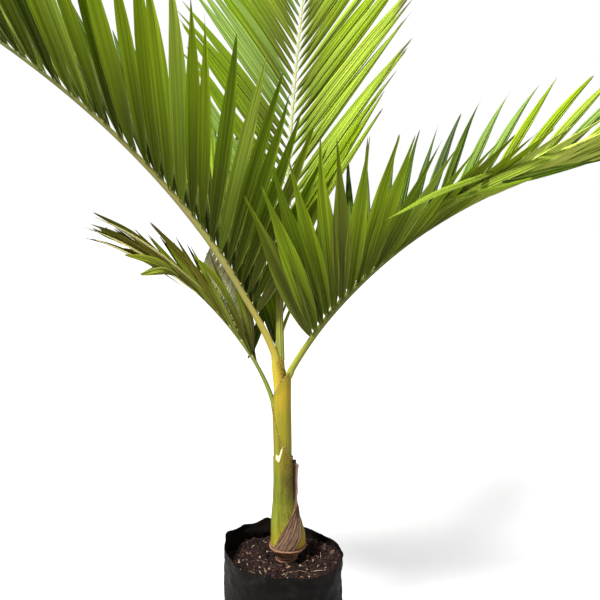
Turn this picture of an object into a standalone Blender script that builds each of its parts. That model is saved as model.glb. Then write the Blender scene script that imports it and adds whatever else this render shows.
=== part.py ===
"""Young feather palm in a black nursery grow bag.

Metres, +Z up, the bag stands on the origin and the viewer stands at -Y.
"""
import math

import bmesh
import bpy
import numpy as np
from mathutils.bvhtree import BVHTree

for old in list(bpy.data.objects):
    bpy.data.objects.remove(old)

GAP = 0.0003

BAG_RADIUS = 0.1505
BAG_FOOT_RADIUS = 0.1455
BAG_HEIGHT = 0.318
BAG_RIM_TILT = 0.018
BAG_WALL = 0.0016
BAG_FLOOR = 0.0020
BAG_CREASE = 0.0030
BAG_TURN_IN = 0.012
BAG_SIDES = 48
BAG_LEVELS = (0.006, 0.075, 0.150, 0.225)

SOIL_LEVEL = 0.292
SOIL_MOUND = 0.006
SOIL_FLAT_RADIUS = 0.050
SOIL_RINGS = (0.86, 0.70, 0.52)

AXIS_HEIGHTS = (0.29, 0.33, 0.36, 0.40, 0.43, 0.46, 0.53, 0.60, 0.70, 0.74, 0.78, 0.82, 1.00)
AXIS_LEAN = (0.0060, 0.0115, 0.0118, 0.0085, 0.0040, 0.0005, -0.0004, -0.0008, -0.0030, -0.0058, -0.0098,
             -0.0128, -0.0160)
AXIS_BEND = 0.70

TRUNK_TOP = 0.814
TRUNK_SIDES = 22
TRUNK_HEIGHTS = (0.2923, 0.2965, 0.301, 0.306, 0.311, 0.317, 0.321, 0.3245, 0.3275, 0.3278, 0.36, 0.42, 0.50,
                 0.62, 0.69, 0.74, 0.78, TRUNK_TOP)
TRUNK_RADII = (0.0288, 0.0255, 0.0275, 0.0250, 0.0280, 0.0300, 0.0370, 0.0432, 0.0428, 0.0370, 0.0330, 0.0250,
               0.0188, 0.0175, 0.0150, 0.0150, 0.0150, 0.0150)

OUTER_FOOT = 0.3279
OUTER_TOP = 0.560
OUTER_WALL = 0.0018
OUTER_SIDES = 28
OUTER_SHARES = (0.0, 0.06, 0.20, 0.36, 0.55, 1.0)
OUTER_HEIGHTS = (0.328, 0.345, 0.366, 0.396, 0.420, 0.450, 0.500, 0.600)
OUTER_RADII = (0.0428, 0.0440, 0.0428, 0.0392, 0.0338, 0.0282, 0.0262, 0.0253)

SHEATH_SIDES = 24
SHEATH_SHARES = (0.0, 0.34, 0.67, 1.0)
SHEATHS = {
    "sheath_left": {"from": 0.700, "low": 0.792, "high": 0.8145, "toward": 194, "sharp": 1.0,
                    "radii": (0.0174, 0.0174), "wall": 0.0018},
    "sheath_right": {"from": 0.520, "low": 0.700, "high": 0.7846, "toward": -8, "sharp": 0.5,
                     "radii": (0.0209, 0.0236), "wall": 0.0016},
    "sheath_low": {"from": 0.480, "low": 0.552, "high": 0.7035, "toward": 172, "sharp": 1.7,
                   "radii": (0.0229, 0.0248), "wall": 0.0012},
}

HUSK_HEIGHTS = (0.330, 0.346, 0.366, 0.390, 0.412, 0.434, 0.456, 0.480, 0.538, 0.552)
HUSK_REACH = (0.60, 0.66, 0.64, 0.52, 0.40, 0.26, 0.10, 0.075, 0.075, 0.120)
HUSK_MIDDLE = (-1.87, -1.66, -1.36, -0.95, -0.60, -0.32, -0.12, -0.05, -0.02, -0.02)
HUSK_ACROSS = 7
HUSK_LIFT = (0.0016, 0.0033)
HUSK_THICK = (0.0022, 0.0050)

SPEAR_TOP = 1.095
SPEAR_RADIUS = 0.0098
SPEAR_SIDES = 12
SPEAR_SHARES = (0.0, 0.12, 0.35, 0.6, 0.8, 0.93, 1.0)
SPEAR_TAPER = 0.42
SPEAR_BLUNT = 0.45
SPEAR_DEPTH = 0.80
SPEAR_FOOT_X = -0.0066
SPEAR_LEAN = -0.0052

RIB_SIDES = 6
RIB_SECTIONS = 18
RIB_HOPS = 48
RIB_TAPER = 1.6

LEAFLET_WIDTH = 0.041
LEAFLET_THICKNESS = 0.0052
LEAFLET_FOLD = 0.0040
LEAFLET_CLEARANCE = 0.0030
LEAFLET_SUNK = 0.35
LEAFLET_HOPS = 24
LEAFLET_STATIONS = (0.0, 0.25, 0.70, 1.0)
LEAFLET_OUTLINE = (0.32, 1.00, 0.74, 0.0)
LONG_LEAFLET = 0.47
ROW_END = 0.985
TURNS_TRIED = (0, 6, -6, 12, -12, 18, -18, 25, -25)

LENGTH_ALONG = (0.0, 0.10, 0.30, 0.60, 0.85, 1.0)
ANGLE_ALONG = (0.0, 0.10, 0.30, 0.60, 1.0)
WIDTH_ALONG = (0.0, 0.35, 1.0)

FRONDS = {
    "frond_left": {
        "foot": (-0.0270, -0.0070, 0.8149), "azimuth": 194, "rise": (74.8, 23.2), "bend": 0.65,
        "length": 1.420, "thick": (0.0100, 0.0018), "bare": 0.100, "pairs": 27, "crowd": 1.25,
        "open": ((54, 49, 41, 32, 20), (54, 49, 41, 32, 20)),
        "vee": ((40, 41, 42, 43, 44), (62, 62, 62, 62, 62)),
        "twist": (-14, -38), "width": ((1.00, 1.15, 1.00), (1.00, 1.15, 1.00)), "leaflet": 0.480,
        "lengths": (0.84, 0.96, 1.0, 0.94, 0.72, 0.36), "droop": 0.30,
    },
    "frond_right": {
        "foot": (0.0186, -0.0030, 0.7849), "azimuth": -8, "rise": (60.5, -7), "bend": 0.96,
        "length": 1.280, "thick": (0.0098, 0.0016), "bare": 0.080, "pairs": 27, "crowd": 1.15,
        "open": ((57, 53, 30, 17, 14), (57, 53, 44, 34, 22)),
        "vee": ((60, 56, 34, 16, 10), (56, 57, 58, 60, 60)),
        "twist": (-14, -38), "width": ((1.40, 1.15, 0.90), (0.75, 0.80, 0.80)), "leaflet": 0.410,
        "lengths": (0.98, 1.08, 0.80, 0.88, 0.74, 0.40), "droop": 0.30,
    },
    "frond_centre": {
        "foot": (-0.0060, 0.0145, 0.8143), "azimuth": 80, "rise": (88, 54), "bend": 0.60,
        "length": 1.420, "thick": (0.0050, 0.0016), "bare": 0.100, "pairs": 28, "crowd": 1.0,
        "open": ((14, 30, 38, 32, 22), (14, 30, 38, 32, 22)),
        "vee": ((16, 16, 16, 16, 16), (16, 16, 16, 16, 16)),
        "twist": (10, 34), "width": ((0.55, 0.90, 0.75), (0.55, 0.90, 0.75)), "leaflet": 0.500,
        "lengths": (0.46, 0.92, 1.0, 0.90, 0.66, 0.34), "droop": 0.25,
    },
    "frond_back": {
        "foot": (0.0038, 0.0084, 0.8143), "azimuth": 45, "rise": (76, 34), "bend": 0.75,
        "length": 0.420, "thick": (0.0036, 0.0014), "bare": 0.34, "pairs": 9, "crowd": 1.0,
        "open": ((22, 26, 28, 24, 18), (22, 26, 28, 24, 18)),
        "vee": ((22, 22, 22, 22, 22), (22, 22, 22, 22, 22)),
        "twist": (-14, -34), "width": ((0.66, 0.66, 0.62), (0.66, 0.66, 0.62)), "leaflet": 0.170,
        "lengths": (0.80, 0.94, 1.0, 0.90, 0.70, 0.40), "droop": 0.40,
    },
    "frond_low": {
        "foot": (-0.0332, 0.0010, 0.7029), "azimuth": 168, "rise": (74.6, 21), "bend": 0.80,
        "length": 0.585, "thick": (0.0065, 0.0014), "bare": 0.17, "pairs": 10, "crowd": 1.0,
        "open": ((22, 16, 12, 10, 8), (22, 16, 12, 10, 8)),
        "vee": ((20, 22, 24, 26, 28), (50, 54, 58, 60, 60)),
        "twist": (-14, -34), "width": ((0.62, 0.56, 0.46), (0.62, 0.56, 0.46)), "leaflet": 0.290,
        "lengths": (1.0, 1.0, 0.86, 0.66, 0.44, 0.26), "droop": 0.10,
    },
}
FROND_COLOURS = {
    "frond_left": "leaf_green",
    "frond_right": "leaf_bright",
    "frond_centre": "leaf_green",
    "frond_back": "leaf_green",
    "frond_low": "leaf_old",
}


def unit(v):
    """The direction of a vector."""
    return v / max(float(np.linalg.norm(v)), 1e-12)


def axis_x(z):
    """How far the column's middle leans sideways at a height."""
    return float(np.interp(z, AXIS_HEIGHTS, AXIS_LEAN))


def eased(u):
    """A smooth step from 0 to 1."""
    u = min(max(u, 0.0), 1.0)
    return u * u * (3 - 2 * u)


def make_object(name, verts, faces, material, smooth=True):
    """A mesh object from points and faces, with its normals facing out."""
    mesh = bpy.data.meshes.new(name)
    mesh.from_pydata([tuple(map(float, v)) for v in verts], [], faces)
    bm = bmesh.new()
    bm.from_mesh(mesh)
    bmesh.ops.recalc_face_normals(bm, faces=bm.faces)
    bm.to_mesh(mesh)
    bm.free()
    for polygon in mesh.polygons:
        polygon.use_smooth = smooth
    obj = bpy.data.objects.new(name, mesh)
    bpy.context.scene.collection.objects.link(obj)
    if material is not None:
        mesh.materials.append(material)
    return obj


def lathe(sections, cap_first=True, cap_last=True):
    """Rings of points joined into a skin; each square is split from its low left to its high right."""
    n = len(sections[0])
    verts = [p for ring in sections for p in ring]
    faces = []
    for k in range(len(sections) - 1):
        for j in range(n):
            a = k * n + j
            b = k * n + (j + 1) % n
            if sections[k][j][2] <= sections[k + 1][j][2]:
                faces += [(a, b, b + n), (a, b + n, a + n)]
            else:
                faces += [(a, b, a + n), (b, b + n, a + n)]
    if cap_first:
        faces.append(tuple(reversed(range(n))))
    if cap_last:
        start = (len(sections) - 1) * n
        faces.append(tuple(range(start, start + n)))
    return verts, faces


def ring(cx, cy, z, radius, sides, squash=1.0):
    """A level circle of points."""
    step = 2 * math.pi / sides
    return [(cx + radius * math.cos(j * step), cy + radius * squash * math.sin(j * step), z)
            for j in range(sides)]


def plain_material(name, colour, roughness):
    """One plain surface."""
    material = bpy.data.materials.new(name)
    material.use_nodes = True
    shader = material.node_tree.nodes["Principled BSDF"]
    shader.inputs["Base Color"].default_value = (*colour, 1.0)
    shader.inputs["Roughness"].default_value = roughness
    material.diffuse_color = (*colour, 1.0)
    return material


def bag_film():
    return plain_material("bag_film", (0.012, 0.012, 0.014), 0.42)


def potting_soil():
    return plain_material("potting_soil", (0.045, 0.022, 0.016), 0.95)


def ringed_wood():
    return plain_material("ringed_wood", (0.28, 0.13, 0.065), 0.75)


def green_sheath():
    return plain_material("green_sheath", (0.24, 0.29, 0.045), 0.45)


def yellow_sheath():
    return plain_material("yellow_sheath", (0.55, 0.46, 0.04), 0.45)


def dry_fibre():
    return plain_material("dry_fibre", (0.22, 0.12, 0.075), 0.85)


def leaf_green():
    return plain_material("leaf_green", (0.11, 0.20, 0.035), 0.5)


def leaf_bright():
    return plain_material("leaf_bright", (0.22, 0.34, 0.045), 0.5)


def leaf_old():
    return plain_material("leaf_old", (0.13, 0.16, 0.045), 0.6)


def bag_radius(angle, z):
    """The film's outer radius: slack creases round a full cylinder of soil."""
    height = min(max(z / BAG_HEIGHT, 0.0), 1.0)
    base = BAG_FOOT_RADIUS + (BAG_RADIUS - BAG_FOOT_RADIUS) * eased(height * 2.2)
    slack = 0.45 * math.sin(5 * angle + 7 * height) + 0.35 * math.sin(9 * angle - 9 * height + 1.0)
    fold = 0.5 * math.sin(3 * angle + 14 * height + 0.6) * eased(height * 3)
    lip = 0.0035 * eased((height - 0.86) / 0.14) * math.sin(2 * angle + 0.4)
    return base + BAG_CREASE * (slack + fold) + lip


def bag_rim(angle):
    """The open edge: higher on the left, with two rucked folds at the back."""
    tilt = -BAG_RIM_TILT * math.cos(angle) + 0.006 * math.sin(angle)
    ruck = 0.013 * math.exp(-((angle - 1.92) / 0.15) ** 2)
    second = 0.006 * math.exp(-((angle - 2.40) / 0.16) ** 2)
    corner = 0.014 * math.exp(-((angle - 3.00) / 0.30) ** 2)
    wave = 0.002 * math.sin(4 * angle + 0.8)
    return BAG_HEIGHT + tilt + ruck + second + corner + wave


def bag_ring(wall, z, share=0.0):
    """One level of the bag's skin, `wall` inside its outer face; `share` climbs from z to the rim."""
    points = []
    for j in range(BAG_SIDES):
        angle = 2 * math.pi * j / BAG_SIDES
        height = z + (bag_rim(angle) - z) * share
        radius = bag_radius(angle, height) - wall
        points.append((radius * math.cos(angle), radius * math.sin(angle), height))
    return points


def make_bag(material):
    """An open film cup with a flat underside."""
    levels = [(z, 0.0) for z in (*BAG_LEVELS, SOIL_LEVEL)] + [(SOIL_LEVEL, 0.5), (SOIL_LEVEL, 1.0)]
    under = BAG_FOOT_RADIUS - BAG_TURN_IN
    sections = [ring(0, 0, 0, under, BAG_SIDES)]
    sections += [bag_ring(0.0, z, share) for z, share in levels]
    sections += [bag_ring(BAG_WALL, z, share) for z, share in reversed(levels)]
    sections.append(ring(0, 0, BAG_FLOOR, under - BAG_WALL, BAG_SIDES))
    return make_object("grow_bag", *lathe(sections), material)


def soil_height(x, y):
    """The soil's top: level under the trunk, gently uneven elsewhere."""
    away = math.hypot(x - axis_x(SOIL_LEVEL), y)
    uneven = 0.5 * math.sin(31 * x + 1.0) * math.cos(27 * y) + 0.5 * math.sin(55 * y + 38 * x)
    return SOIL_LEVEL + SOIL_MOUND * (uneven - 0.4) * eased((away - SOIL_FLAT_RADIUS) / 0.05)


def make_soil(material):
    """A plug of potting soil that fills the bag to just below its rim."""
    inset = BAG_WALL + 2 * GAP
    sections = [ring(0, 0, BAG_FLOOR + GAP, BAG_FOOT_RADIUS - BAG_TURN_IN - inset, BAG_SIDES)]
    sections += [bag_ring(inset, z) for z in BAG_LEVELS]
    edge = bag_ring(inset, SOIL_LEVEL)
    sections.append(edge)
    middle = axis_x(SOIL_LEVEL)
    for share in SOIL_RINGS:
        inner = []
        for x, y, _ in edge:
            px = middle + (x - middle) * share
            py = y * share
            inner.append((px, py, soil_height(px, py)))
        sections.append(inner)
    sections.append(ring(middle, 0, SOIL_LEVEL, SOIL_FLAT_RADIUS, BAG_SIDES))
    return make_object("soil", *lathe(sections), material)


def make_trunk(material):
    """Ringed foot, swollen collar and slim column up to the fork, cut level where the soil starts."""
    sections = []
    for z, radius in zip(TRUNK_HEIGHTS, TRUNK_RADII):
        sections.append(ring(axis_x(z), 0, z, radius, TRUNK_SIDES))
    return make_object("trunk", *lathe(sections), material)


def outer_radius(z):
    """The oldest green sheath: a wide foot that narrows quickly to the column."""
    return float(np.interp(z, OUTER_HEIGHTS, OUTER_RADII))


def outer_top(angle):
    """Its torn upper edge: a peak in front, a notch and a tooth on the left, a low shoulder."""
    peak = 0.036 * math.exp(-((angle - 4.72) / 0.26) ** 2)
    notch = -0.014 * math.exp(-((angle - 4.20) / 0.16) ** 2)
    tooth = 0.006 * math.exp(-((angle - 3.70) / 0.20) ** 2)
    return OUTER_TOP + peak + notch + tooth


def make_tube(name, levels, material):
    """A tube from its outer levels upwards and its inner levels downwards, joined at its foot."""
    verts, faces = lathe(levels, False, False)
    sides = len(levels[0])
    last = (len(levels) - 1) * sides
    for j in range(sides):
        faces.append((last + j, last + (j + 1) % sides, (j + 1) % sides, j))
    return make_object(name, verts, faces, material)


def make_outer_sheath(material):
    """A leaf base that has lost its leaf, wrapped all round the column."""

    def level(share, inset):
        points = []
        for j in range(OUTER_SIDES):
            angle = 2 * math.pi * j / OUTER_SIDES
            z = OUTER_FOOT + (outer_top(angle) - OUTER_FOOT) * share
            radius = outer_radius(z) - inset
            points.append((axis_x(z) + radius * math.cos(angle), radius * math.sin(angle), z))
        return points

    levels = [level(s, 0.0) for s in OUTER_SHARES]
    levels += [level(s, OUTER_WALL * (1.0 if s < 1 else 0.5)) for s in reversed(OUTER_SHARES)]
    return make_tube("outer_sheath", levels, material)


def make_sheath(name, spec, material):
    """A tubular leaf base whose edge climbs to a tongue under its own stalk."""
    toward = math.radians(spec["toward"])
    follows = TRUNK_TOP if spec["from"] >= AXIS_BEND else AXIS_BEND

    def level(share, inset):
        points = []
        for j in range(SHEATH_SIDES):
            angle = 2 * math.pi * j / SHEATH_SIDES
            near = (1 + math.cos(angle - toward)) / 2
            top = spec["low"] + (spec["high"] - spec["low"]) * near ** spec["sharp"]
            z = spec["from"] + (top - spec["from"]) * share
            climb = (z - spec["from"]) / (spec["high"] - spec["from"])
            radius = spec["radii"][0] + (spec["radii"][1] - spec["radii"][0]) * climb - inset
            middle = axis_x(min(z, follows))
            points.append((middle + radius * math.cos(angle), radius * math.sin(angle), z))
        return points

    levels = [level(s, 0.0) for s in SHEATH_SHARES]
    levels += [level(s, spec["wall"]) for s in reversed(SHEATH_SHARES)]
    return make_tube(name, levels, material)


def make_husk(material):
    """The brown remains of a leaf base: a wide wrap low down, a thin stalk above."""
    sections = []
    for z, half, middle in zip(HUSK_HEIGHTS, HUSK_REACH, HUSK_MIDDLE):
        lift = HUSK_LIFT[0] + (HUSK_LIFT[1] - HUSK_LIFT[0]) * eased((z - 0.44) / 0.08)
        thick = HUSK_THICK[0] + (HUSK_THICK[1] - HUSK_THICK[0]) * eased((z - 0.53) / 0.02)
        inner = outer_radius(z) + lift
        angles = [middle - half + 2 * half * k / (HUSK_ACROSS - 1) for k in range(HUSK_ACROSS)]
        loop = [(axis_x(z) + (inner + thick) * math.cos(a), (inner + thick) * math.sin(a), z) for a in angles]
        loop += [(axis_x(z) + inner * math.cos(a), inner * math.sin(a), z) for a in reversed(angles)]
        sections.append(loop)
    return make_object("dry_husk", *lathe(sections), material)


def make_spear(material):
    """The newest leaf, still folded shut, with a frayed blunt tip."""
    foot = TRUNK_TOP + GAP
    sections = []
    for share in SPEAR_SHARES:
        radius = SPEAR_RADIUS * (1.0 - SPEAR_TAPER * share ** 1.3)
        if share == 1.0:
            radius *= SPEAR_BLUNT
        x = SPEAR_FOOT_X + SPEAR_LEAN * share
        sections.append(ring(x, 0.0, foot + (SPEAR_TOP - foot) * share, radius, SPEAR_SIDES, SPEAR_DEPTH))
    return make_object("spear", *lathe(sections), material)


def rib_curve(frond, steps=RIB_HOPS):
    """Points, directions, upward and sideways vectors along a frond's rib."""
    t = np.linspace(0, 1, steps + 1)
    rise = np.radians(frond["rise"][0] + (frond["rise"][1] - frond["rise"][0]) * t ** frond["bend"])
    azimuth = math.radians(frond["azimuth"])
    out = np.array([math.cos(azimuth), math.sin(azimuth), 0.0])
    up = np.array([0.0, 0.0, 1.0])
    along = np.cos(rise)[:, None] * out + np.sin(rise)[:, None] * up
    above = -np.sin(rise)[:, None] * out + np.cos(rise)[:, None] * up
    aside = np.cross(along, above)
    hops = (along[1:] + along[:-1]) / 2 * frond["length"] / steps
    points = np.array(frond["foot"]) + np.vstack([np.zeros(3), np.cumsum(hops, axis=0)])
    return t, points, along, above, aside


def at(t, rows, u):
    """A row read off between two steps."""
    return np.array([np.interp(u, t, rows[:, k]) for k in range(3)])


def rib_radius(frond, t):
    """The rib tapers from a stout stalk to a thin tip."""
    thick, thin = frond["thick"]
    return thin + (thick - thin) * (1 - t) ** RIB_TAPER


def make_rib(frond):
    """The stalk and rib as a six-sided tapering tube, cut level at its foot."""
    t, points, along, above, aside = rib_curve(frond, RIB_SECTIONS)
    sections = []
    for k in range(len(t)):
        radius = rib_radius(frond, t[k])
        loop = []
        for j in range(RIB_SIDES):
            angle = 2 * math.pi * (j + 0.5) / RIB_SIDES
            p = points[k] + radius * (math.cos(angle) * aside[k] + math.sin(angle) * above[k])
            if k == 0:
                slope = (p[2] - points[0][2]) / along[0][2]
                p = p - along[0] * slope
            loop.append(tuple(p))
        sections.append(loop)
    return lathe(sections)


def leaflet_plan(frond):
    """Where each leaflet springs, how it points and how long it is."""
    t, points, along, above, aside = rib_curve(frond)
    plan = []
    for side in (1, -1):
        row = 0 if side > 0 else 1
        for i in range(frond["pairs"]):
            u = (i + 0.5 * row) / (frond["pairs"] - 0.5)
            s = frond["bare"] + (ROW_END - frond["bare"]) * u ** frond["crowd"]
            length = frond["leaflet"] * float(np.interp(u, LENGTH_ALONG, frond["lengths"]))
            broad = 0.55 + 0.45 * length / LONG_LEAFLET
            plan.append({
                "side": side, "order": i,
                "root": at(t, points, s), "radius": rib_radius(frond, s),
                "along": unit(at(t, along, s)), "above": unit(at(t, above, s)),
                "aside": unit(at(t, aside, s)),
                "open": float(np.interp(u, ANGLE_ALONG, frond["open"][row])),
                "vee": float(np.interp(u, ANGLE_ALONG, frond["vee"][row])),
                "length": length, "droop": frond["droop"],
                "width": LEAFLET_WIDTH * broad * float(np.interp(u, WIDTH_ALONG, frond["width"][row])),
                "twist": side * (frond["twist"][0] + (frond["twist"][1] - frond["twist"][0]) * u ** 0.6),
            })
    return plan


def leaflet_line(leaf, turn):
    """The leaflet's middle line and its across and facing vectors at each station."""
    opened = math.radians(leaf["open"])
    vee = math.radians(leaf["vee"] + turn)
    outward = math.cos(vee) * leaf["side"] * leaf["aside"] + math.sin(vee) * leaf["above"]
    heading = unit(math.cos(opened) * leaf["along"] + math.sin(opened) * outward)
    hop = leaf["length"] / LEAFLET_HOPS
    line = [leaf["root"] + leaf["radius"] * LEAFLET_SUNK * outward]
    headings = [heading]
    for _ in range(LEAFLET_HOPS):
        line.append(line[-1] + heading * hop)
        heading = unit(heading - np.array([0, 0, leaf["droop"] * hop]))
        headings.append(heading)
    twist = math.radians(leaf["twist"])
    rows = []
    for station in LEAFLET_STATIONS:
        k = int(round(station * LEAFLET_HOPS))
        h = headings[k]
        flat = unit(leaf["along"] - (leaf["along"] @ h) * h)
        across = math.cos(twist) * flat + math.sin(twist) * np.cross(h, flat)
        rows.append((line[k], across, np.cross(h, across)))
    return rows


def leaflet_blade(leaf, turn=0.0, spare=0.0):
    """A folded blade: narrow root, widest a quarter of the way out, pointed tip."""
    rows = leaflet_line(leaf, turn)
    sections = []
    for (point, across, facing), width in zip(rows[:-1], LEAFLET_OUTLINE[:-1]):
        half = leaf["width"] * width / 2 + spare
        thick = LEAFLET_THICKNESS / 2 * (0.6 + 0.4 * width) + spare
        fold = LEAFLET_FOLD * width
        sections.append([
            tuple(point - across * half - facing * fold),
            tuple(point - facing * thick),
            tuple(point + across * half - facing * fold),
            tuple(point + facing * thick),
        ])
    verts, faces = lathe(sections, True, False)
    last = len(verts) - 4
    tip = rows[-1][0] + unit(rows[-1][0] - rows[-2][0]) * spare
    verts.append(tuple(tip))
    for j in range(4):
        faces.append((last + j, last + (j + 1) % 4, len(verts) - 1))
    return verts, faces


def tree_of(parts):
    """One search tree over several meshes."""
    verts = []
    faces = []
    for part_verts, part_faces in parts:
        start = len(verts)
        verts += [tuple(map(float, v)) for v in part_verts]
        faces += [tuple(i + start for i in face) for face in part_faces]
    return BVHTree.FromPolygons(verts, faces)


def mesh_parts(obj):
    """An object's points and faces."""
    verts = [tuple(v.co) for v in obj.data.vertices]
    faces = [tuple(p.vertices) for p in obj.data.polygons]
    return verts, faces


def thick_rib(frond):
    """The rib with a margin, for keeping other fronds' leaflets off it."""
    wide = dict(frond)
    wide["thick"] = (frond["thick"][0] + LEAFLET_CLEARANCE, frond["thick"][1] + LEAFLET_CLEARANCE)
    return make_rib(wide)


def place_leaflets(limbs, stems):
    """Each frond's blades, turned about the rib until they touch no other frond."""
    placed = {}
    for name, frond in FRONDS.items():
        others = [rib for key, rib in limbs.items() if key != name] + stems
        for blades in placed.values():
            others += [blade for _, blade in blades]
        tree = tree_of(others)
        blades = []
        for leaf in leaflet_plan(frond):
            for turn in TURNS_TRIED:
                verts, faces = leaflet_blade(leaf, turn, LEAFLET_CLEARANCE)
                if not BVHTree.FromPolygons(verts, faces).overlap(tree):
                    blades.append((leaf, leaflet_blade(leaf, turn)))
                    break
        placed[name] = blades
        print(name, "leaflets", len(blades), "of", 2 * frond["pairs"])
    return placed


def join_frond(name, rib, blades, material):
    """The rib and its leaflets united into one closed solid."""
    obj = make_object(name, *rib, material)
    group = bpy.data.collections.new(name + "_leaflets")
    bpy.context.scene.collection.children.link(group)
    for side in (1, -1):
        for odd in (0, 1):
            chosen = [b for leaf, b in blades if leaf["side"] == side and leaf["order"] % 2 == odd]
            verts = []
            faces = []
            for part_verts, part_faces in chosen:
                start = len(verts)
                verts += part_verts
                faces += [tuple(i + start for i in face) for face in part_faces]
            row = make_object(f"{name}_row_{side}_{odd}", verts, faces, material)
            bpy.context.scene.collection.objects.unlink(row)
            group.objects.link(row)
    union = obj.modifiers.new("union", "BOOLEAN")
    union.operation = "UNION"
    union.operand_type = "COLLECTION"
    union.collection = group
    union.solver = "MANIFOLD"
    graph = bpy.context.evaluated_depsgraph_get()
    mesh = bpy.data.meshes.new_from_object(obj.evaluated_get(graph))
    obj.modifiers.clear()
    obj.data = mesh
    for row in list(group.objects):
        bpy.data.objects.remove(row)
    bpy.data.collections.remove(group)
    return obj


def build():
    """All pieces of the plant and its bag."""
    make_bag(bag_film())
    make_soil(potting_soil())
    trunk = make_trunk(ringed_wood())
    green = green_sheath()
    yellow = yellow_sheath()
    outer = make_outer_sheath(green)
    left = make_sheath("sheath_left", SHEATHS["sheath_left"], yellow)
    right = make_sheath("sheath_right", SHEATHS["sheath_right"], green)
    low = make_sheath("sheath_low", SHEATHS["sheath_low"], green)
    husk = make_husk(dry_fibre())
    spear = make_spear(green)
    leaf_materials = {"leaf_green": leaf_green(), "leaf_bright": leaf_bright(), "leaf_old": leaf_old()}
    limbs = {name: thick_rib(frond) for name, frond in FRONDS.items()}
    stems = [mesh_parts(obj) for obj in (trunk, outer, left, right, low, husk, spear)]
    placed = place_leaflets(limbs, stems)
    for name, frond in FRONDS.items():
        join_frond(name, make_rib(frond), placed[name], leaf_materials[FROND_COLOURS[name]])


build()
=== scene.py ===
# %% [markdown]
# # A young feather palm in a black nursery bag
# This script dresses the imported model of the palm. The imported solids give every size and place, and the
# script grows finer forms over them: pleated leaflets, channelled leaf stalks, split leaf bases, a crinkled
# bag and crumbly soil. Everything is in metres, the bag stands on the origin and the viewer is at -Y.

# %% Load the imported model
import math

import bpy
import numpy as np
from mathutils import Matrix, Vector, noise


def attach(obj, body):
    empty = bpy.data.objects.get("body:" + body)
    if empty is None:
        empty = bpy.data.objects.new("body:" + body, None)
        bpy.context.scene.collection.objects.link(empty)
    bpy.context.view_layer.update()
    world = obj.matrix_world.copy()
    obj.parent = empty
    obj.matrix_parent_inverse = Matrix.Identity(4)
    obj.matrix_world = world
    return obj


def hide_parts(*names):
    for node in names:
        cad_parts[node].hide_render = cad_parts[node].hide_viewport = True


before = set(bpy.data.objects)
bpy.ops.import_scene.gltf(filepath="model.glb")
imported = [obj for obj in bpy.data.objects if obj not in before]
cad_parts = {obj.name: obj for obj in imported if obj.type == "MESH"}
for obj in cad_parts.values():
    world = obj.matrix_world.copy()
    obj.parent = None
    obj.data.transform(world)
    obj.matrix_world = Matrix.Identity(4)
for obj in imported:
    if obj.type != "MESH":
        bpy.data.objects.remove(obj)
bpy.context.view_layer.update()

print("nodes to dress:", sorted(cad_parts))

# %% [markdown]
# ## The camera
# The photograph was taken from a little above the middle of the plant, about two metres away, looking slightly
# down. The rim of the bag gives the tilt: it shows as a flat oval, so the camera looks down about seven degrees.

# %% Place the camera
EYE = (0.042, -1.90, 1.20)
EYE_DOWN = 7.2
EYE_FIELD = 42.0


def place_camera():
    """A camera at the photograph's viewpoint."""
    lens = bpy.data.cameras.new("viewpoint")
    lens.angle = math.radians(EYE_FIELD)
    camera = bpy.data.objects.new("viewpoint", lens)
    camera.location = EYE
    camera.rotation_euler = (math.radians(90 - EYE_DOWN), 0, 0)
    bpy.context.scene.collection.objects.link(camera)
    bpy.context.scene.camera = camera
    return camera


print("camera at", tuple(place_camera().location))

# %% [markdown]
# ## Floor and light
# A white surround keeps the outline of the leaves clear. A distant soft lamp, high on the left in front, gives
# every leaflet a lit and a shaded face, which is what makes the pleats readable. The surround is seen white,
# but it lights the plant more weakly, so that the shade between the leaves stays deep.

# %% Pale floor, white surround and two soft lamps
FLOOR_REACH = 30.0
FLOOR_LIFT = 0.62
SURROUND_SEEN = 1.0
SURROUND_LIGHT = 0.31
LAMPS = {
    "key_lamp": {"from": (-1.4, -1.5, 3.0), "spread": 12.0, "strength": 6.1},
    "fill_lamp": {"from": (2.4, -1.2, 1.3), "spread": 40.0, "strength": 0.30},
}


def make_floor():
    """A wide round floor of pale matt chalk, which the camera sees a little lighter than it lights the plant."""
    sides = 96
    turn = 2 * math.pi / sides
    verts = [(FLOOR_REACH * math.cos(j * turn), FLOOR_REACH * math.sin(j * turn), 0.0) for j in range(sides)]
    mesh = bpy.data.meshes.new("studio_floor")
    mesh.from_pydata(verts, [], [tuple(range(sides))])
    floor = bpy.data.objects.new("studio_floor", mesh)
    bpy.context.scene.collection.objects.link(floor)
    chalk = bpy.data.materials.new("floor_chalk")
    chalk.use_nodes = True
    shader = chalk.node_tree.nodes["Principled BSDF"]
    shader.inputs["Base Color"].default_value = (0.37, 0.37, 0.365, 1)
    shader.inputs["Roughness"].default_value = 0.9
    shader.inputs["Specular IOR Level"].default_value = 0.0
    shader.inputs["Emission Color"].default_value = (1, 1, 1, 1)
    ray = chalk.node_tree.nodes.new("ShaderNodeLightPath")
    level = chalk.node_tree.nodes.new("ShaderNodeMath")
    level.operation = "MULTIPLY"
    level.inputs[1].default_value = FLOOR_LIFT
    chalk.node_tree.links.new(ray.outputs["Is Camera Ray"], level.inputs[0])
    chalk.node_tree.links.new(level.outputs[0], shader.inputs["Emission Strength"])
    mesh.materials.append(chalk)
    return floor


def make_lamp(name, lamp):
    """A soft distant lamp that shines from a side."""
    light = bpy.data.lights.new(name, "SUN")
    light.angle = math.radians(lamp["spread"])
    light.energy = lamp["strength"]
    holder = bpy.data.objects.new(name, light)
    holder.location = lamp["from"]
    holder.rotation_euler = (-Vector(lamp["from"])).to_track_quat("-Z", "Y").to_euler()
    bpy.context.scene.collection.objects.link(holder)
    return holder


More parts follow.
